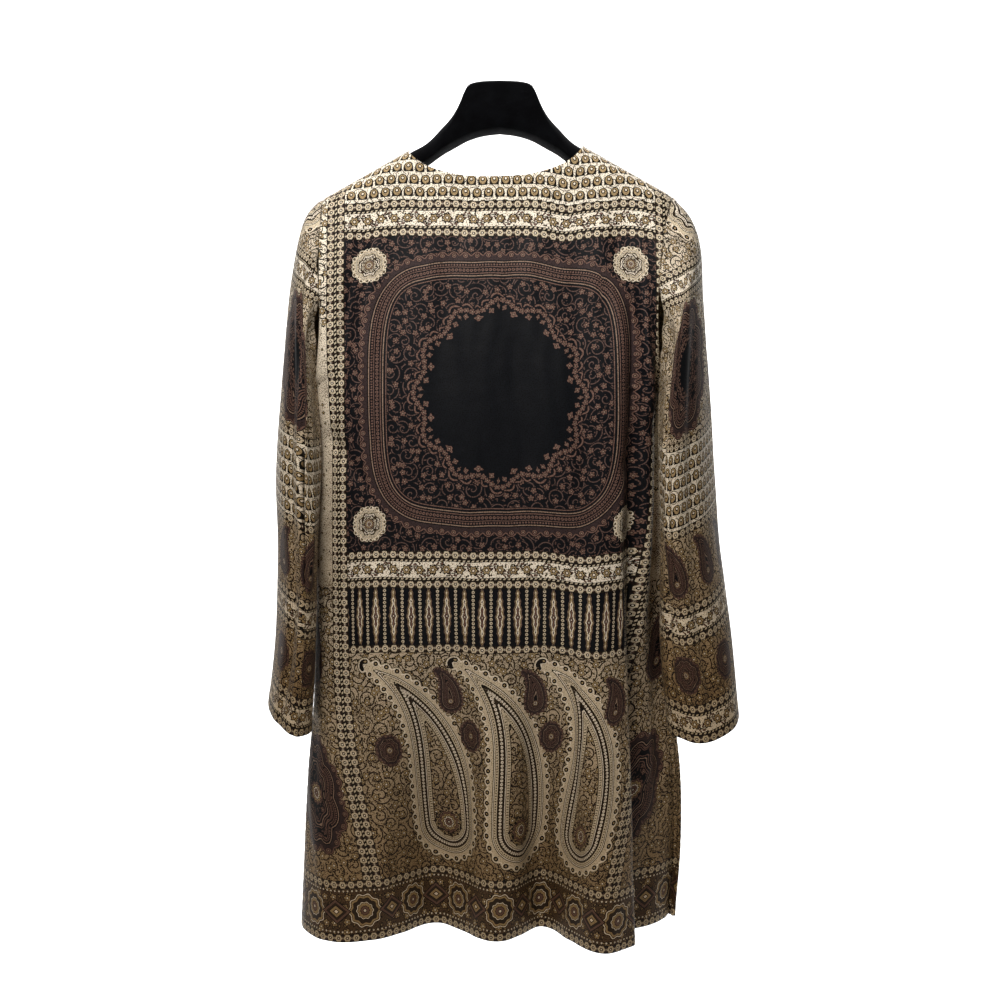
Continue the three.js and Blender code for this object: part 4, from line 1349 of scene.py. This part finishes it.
class COAT_OT_body(bpy.types.Operator):
    """Makes the back and the two fronts as thin cloth"""

    bl_idname = "coat.body"
    bl_label = "Back and fronts"

    def execute(self, context):
        for name, phase in (("back", 0.0), ("front_left", 1.3), ("front_right", 2.9)):
            body_panel(name, phase)
        return {"FINISHED"}


class COAT_OT_sleeves(bpy.types.Operator):
    """Makes the two sleeves as tubes of thin cloth"""

    bl_idname = "coat.sleeves"
    bl_label = "Sleeves"

    def execute(self, context):
        for side, phase in (("left", 0.7), ("right", 4.1)):
            sleeve_piece(side, phase)
        return {"FINISHED"}


def backdrop_mesh(floor):
    """A seamless paper: a floor that curves up into a wall behind, made as a profile swept sideways. The
    profile is a straight floor, a quarter circle and a straight wall."""
    radius, front, back, top, wide = 1.5, 6.0, 3.5, 5.0, 9.0
    angle = np.linspace(0, math.pi / 2, 25)
    y = np.concatenate([[front], -back + radius - radius * np.sin(angle), [-back]])
    z = np.concatenate([[floor], floor + radius * (1 - np.cos(angle)), [floor + top]])
    rows = len(y)
    points = np.concatenate([np.stack([np.full(rows, x), y, z], -1) for x in (-wide, wide)])
    j = np.arange(rows - 1)
    quads = np.stack([j, j + rows, j + rows + 1, j + 1], -1)
    mesh = bpy.data.meshes.new("seamless_paper")
    mesh.from_pydata(points.tolist(), [], quads.tolist())
    mesh.polygons.foreach_set("use_smooth", np.ones(len(mesh.polygons), bool))
    return mesh


def softbox(name, place, aim, size, power, colour):
    """A rectangular softbox that faces a point."""
    light = bpy.data.lights.new(name, "AREA")
    light.shape = "RECTANGLE"
    light.size, light.size_y = size
    light.energy = power
    light.color = linear(colour)[:3]
    lamp = bpy.data.objects.new(name, light)
    bpy.context.scene.collection.objects.link(lamp)
    lamp.location = place
    lamp.rotation_mode = "QUATERNION"
    lamp.rotation_quaternion = (Vector(aim) - Vector(place)).to_track_quat("-Z", "Y")


class COAT_OT_stage(bpy.types.Operator):
    """Sets up the seamless paper, the soft lights and the camera at the picture's angle"""

    bl_idname = "coat.stage"
    bl_label = "Studio"

    def execute(self, context):
        scene = context.scene
        studio = scene.coat_studio
        paper = bpy.data.objects.new("seamless_paper", backdrop_mesh(studio.floor))
        scene.collection.objects.link(paper)
        paper.data.materials.append(plain_material("matt_white_paper", "#FBFBFA", 0.9))
        world = bpy.data.worlds.new("studio_air")
        scene.world = world
        world.use_nodes = True
        world.node_tree.nodes["Background"].inputs["Color"].default_value = linear("#FFFFFF")
        world.node_tree.nodes["Background"].inputs["Strength"].default_value = 0.12
        softbox("key_softbox", (0.3, 1.08, 0.85), (0, 0, -0.25), (0.4, 0.45), studio.key_power, "#FFFAF4")
        softbox("top_softbox", (0.0, 0.1, 1.3), (0, 0, -0.3), (1.2, 0.9), studio.key_power * 0.25, "#FFFFFF")
        softbox("paper_light", (0.0, -1.6, 1.8), (0, -3.4, -0.6), (4.0, 1.0), studio.key_power * 6, "#FFFFFF")
        lens = bpy.data.cameras.new("camera")
        lens.sensor_width = 36.0
        lens.lens = lens.sensor_width * studio.distance / studio.field
        camera = bpy.data.objects.new("camera", lens)
        scene.collection.objects.link(camera)
        camera.location = (0, studio.distance, studio.height)
        camera.rotation_euler = (math.pi / 2, 0, math.pi)
        scene.camera = camera
        scene.view_settings.view_transform = "Standard"
        return {"FINISHED"}


class COAT_PT_panel(bpy.types.Panel):
    """Lists the coat's pieces and its finish in the sidebar"""

    bl_idname = "COAT_PT_panel"
    bl_label = "Kimono Coat"
    bl_space_type = "VIEW_3D"
    bl_region_type = "UI"
    bl_category = "Kimono Coat"

    def draw(self, context):
        for operator in STEPS:
            self.layout.operator(operator.bl_idname)
        for group in (context.scene.coat_finish, context.scene.coat_studio):
            for name in group.__annotations__:
                self.layout.prop(group, name)


STEPS = (COAT_OT_hanger, COAT_OT_body, COAT_OT_sleeves, COAT_OT_stage)
CLASSES = (CoatFinish, StudioSetting, *STEPS, COAT_PT_panel)


def register():
    for each in CLASSES:
        bpy.utils.register_class(each)
    bpy.types.Scene.coat_finish = bpy.props.PointerProperty(type=CoatFinish)
    bpy.types.Scene.coat_studio = bpy.props.PointerProperty(type=StudioSetting)


def unregister():
    del bpy.types.Scene.coat_studio
    del bpy.types.Scene.coat_finish
    for each in reversed(CLASSES):
        bpy.utils.unregister_class(each)


def main():
    register()
    bpy.ops.coat.hanger()
    bpy.ops.coat.body()
    bpy.ops.coat.sleeves()
    bpy.ops.coat.stage()


if __name__ == "__main__":
    main()
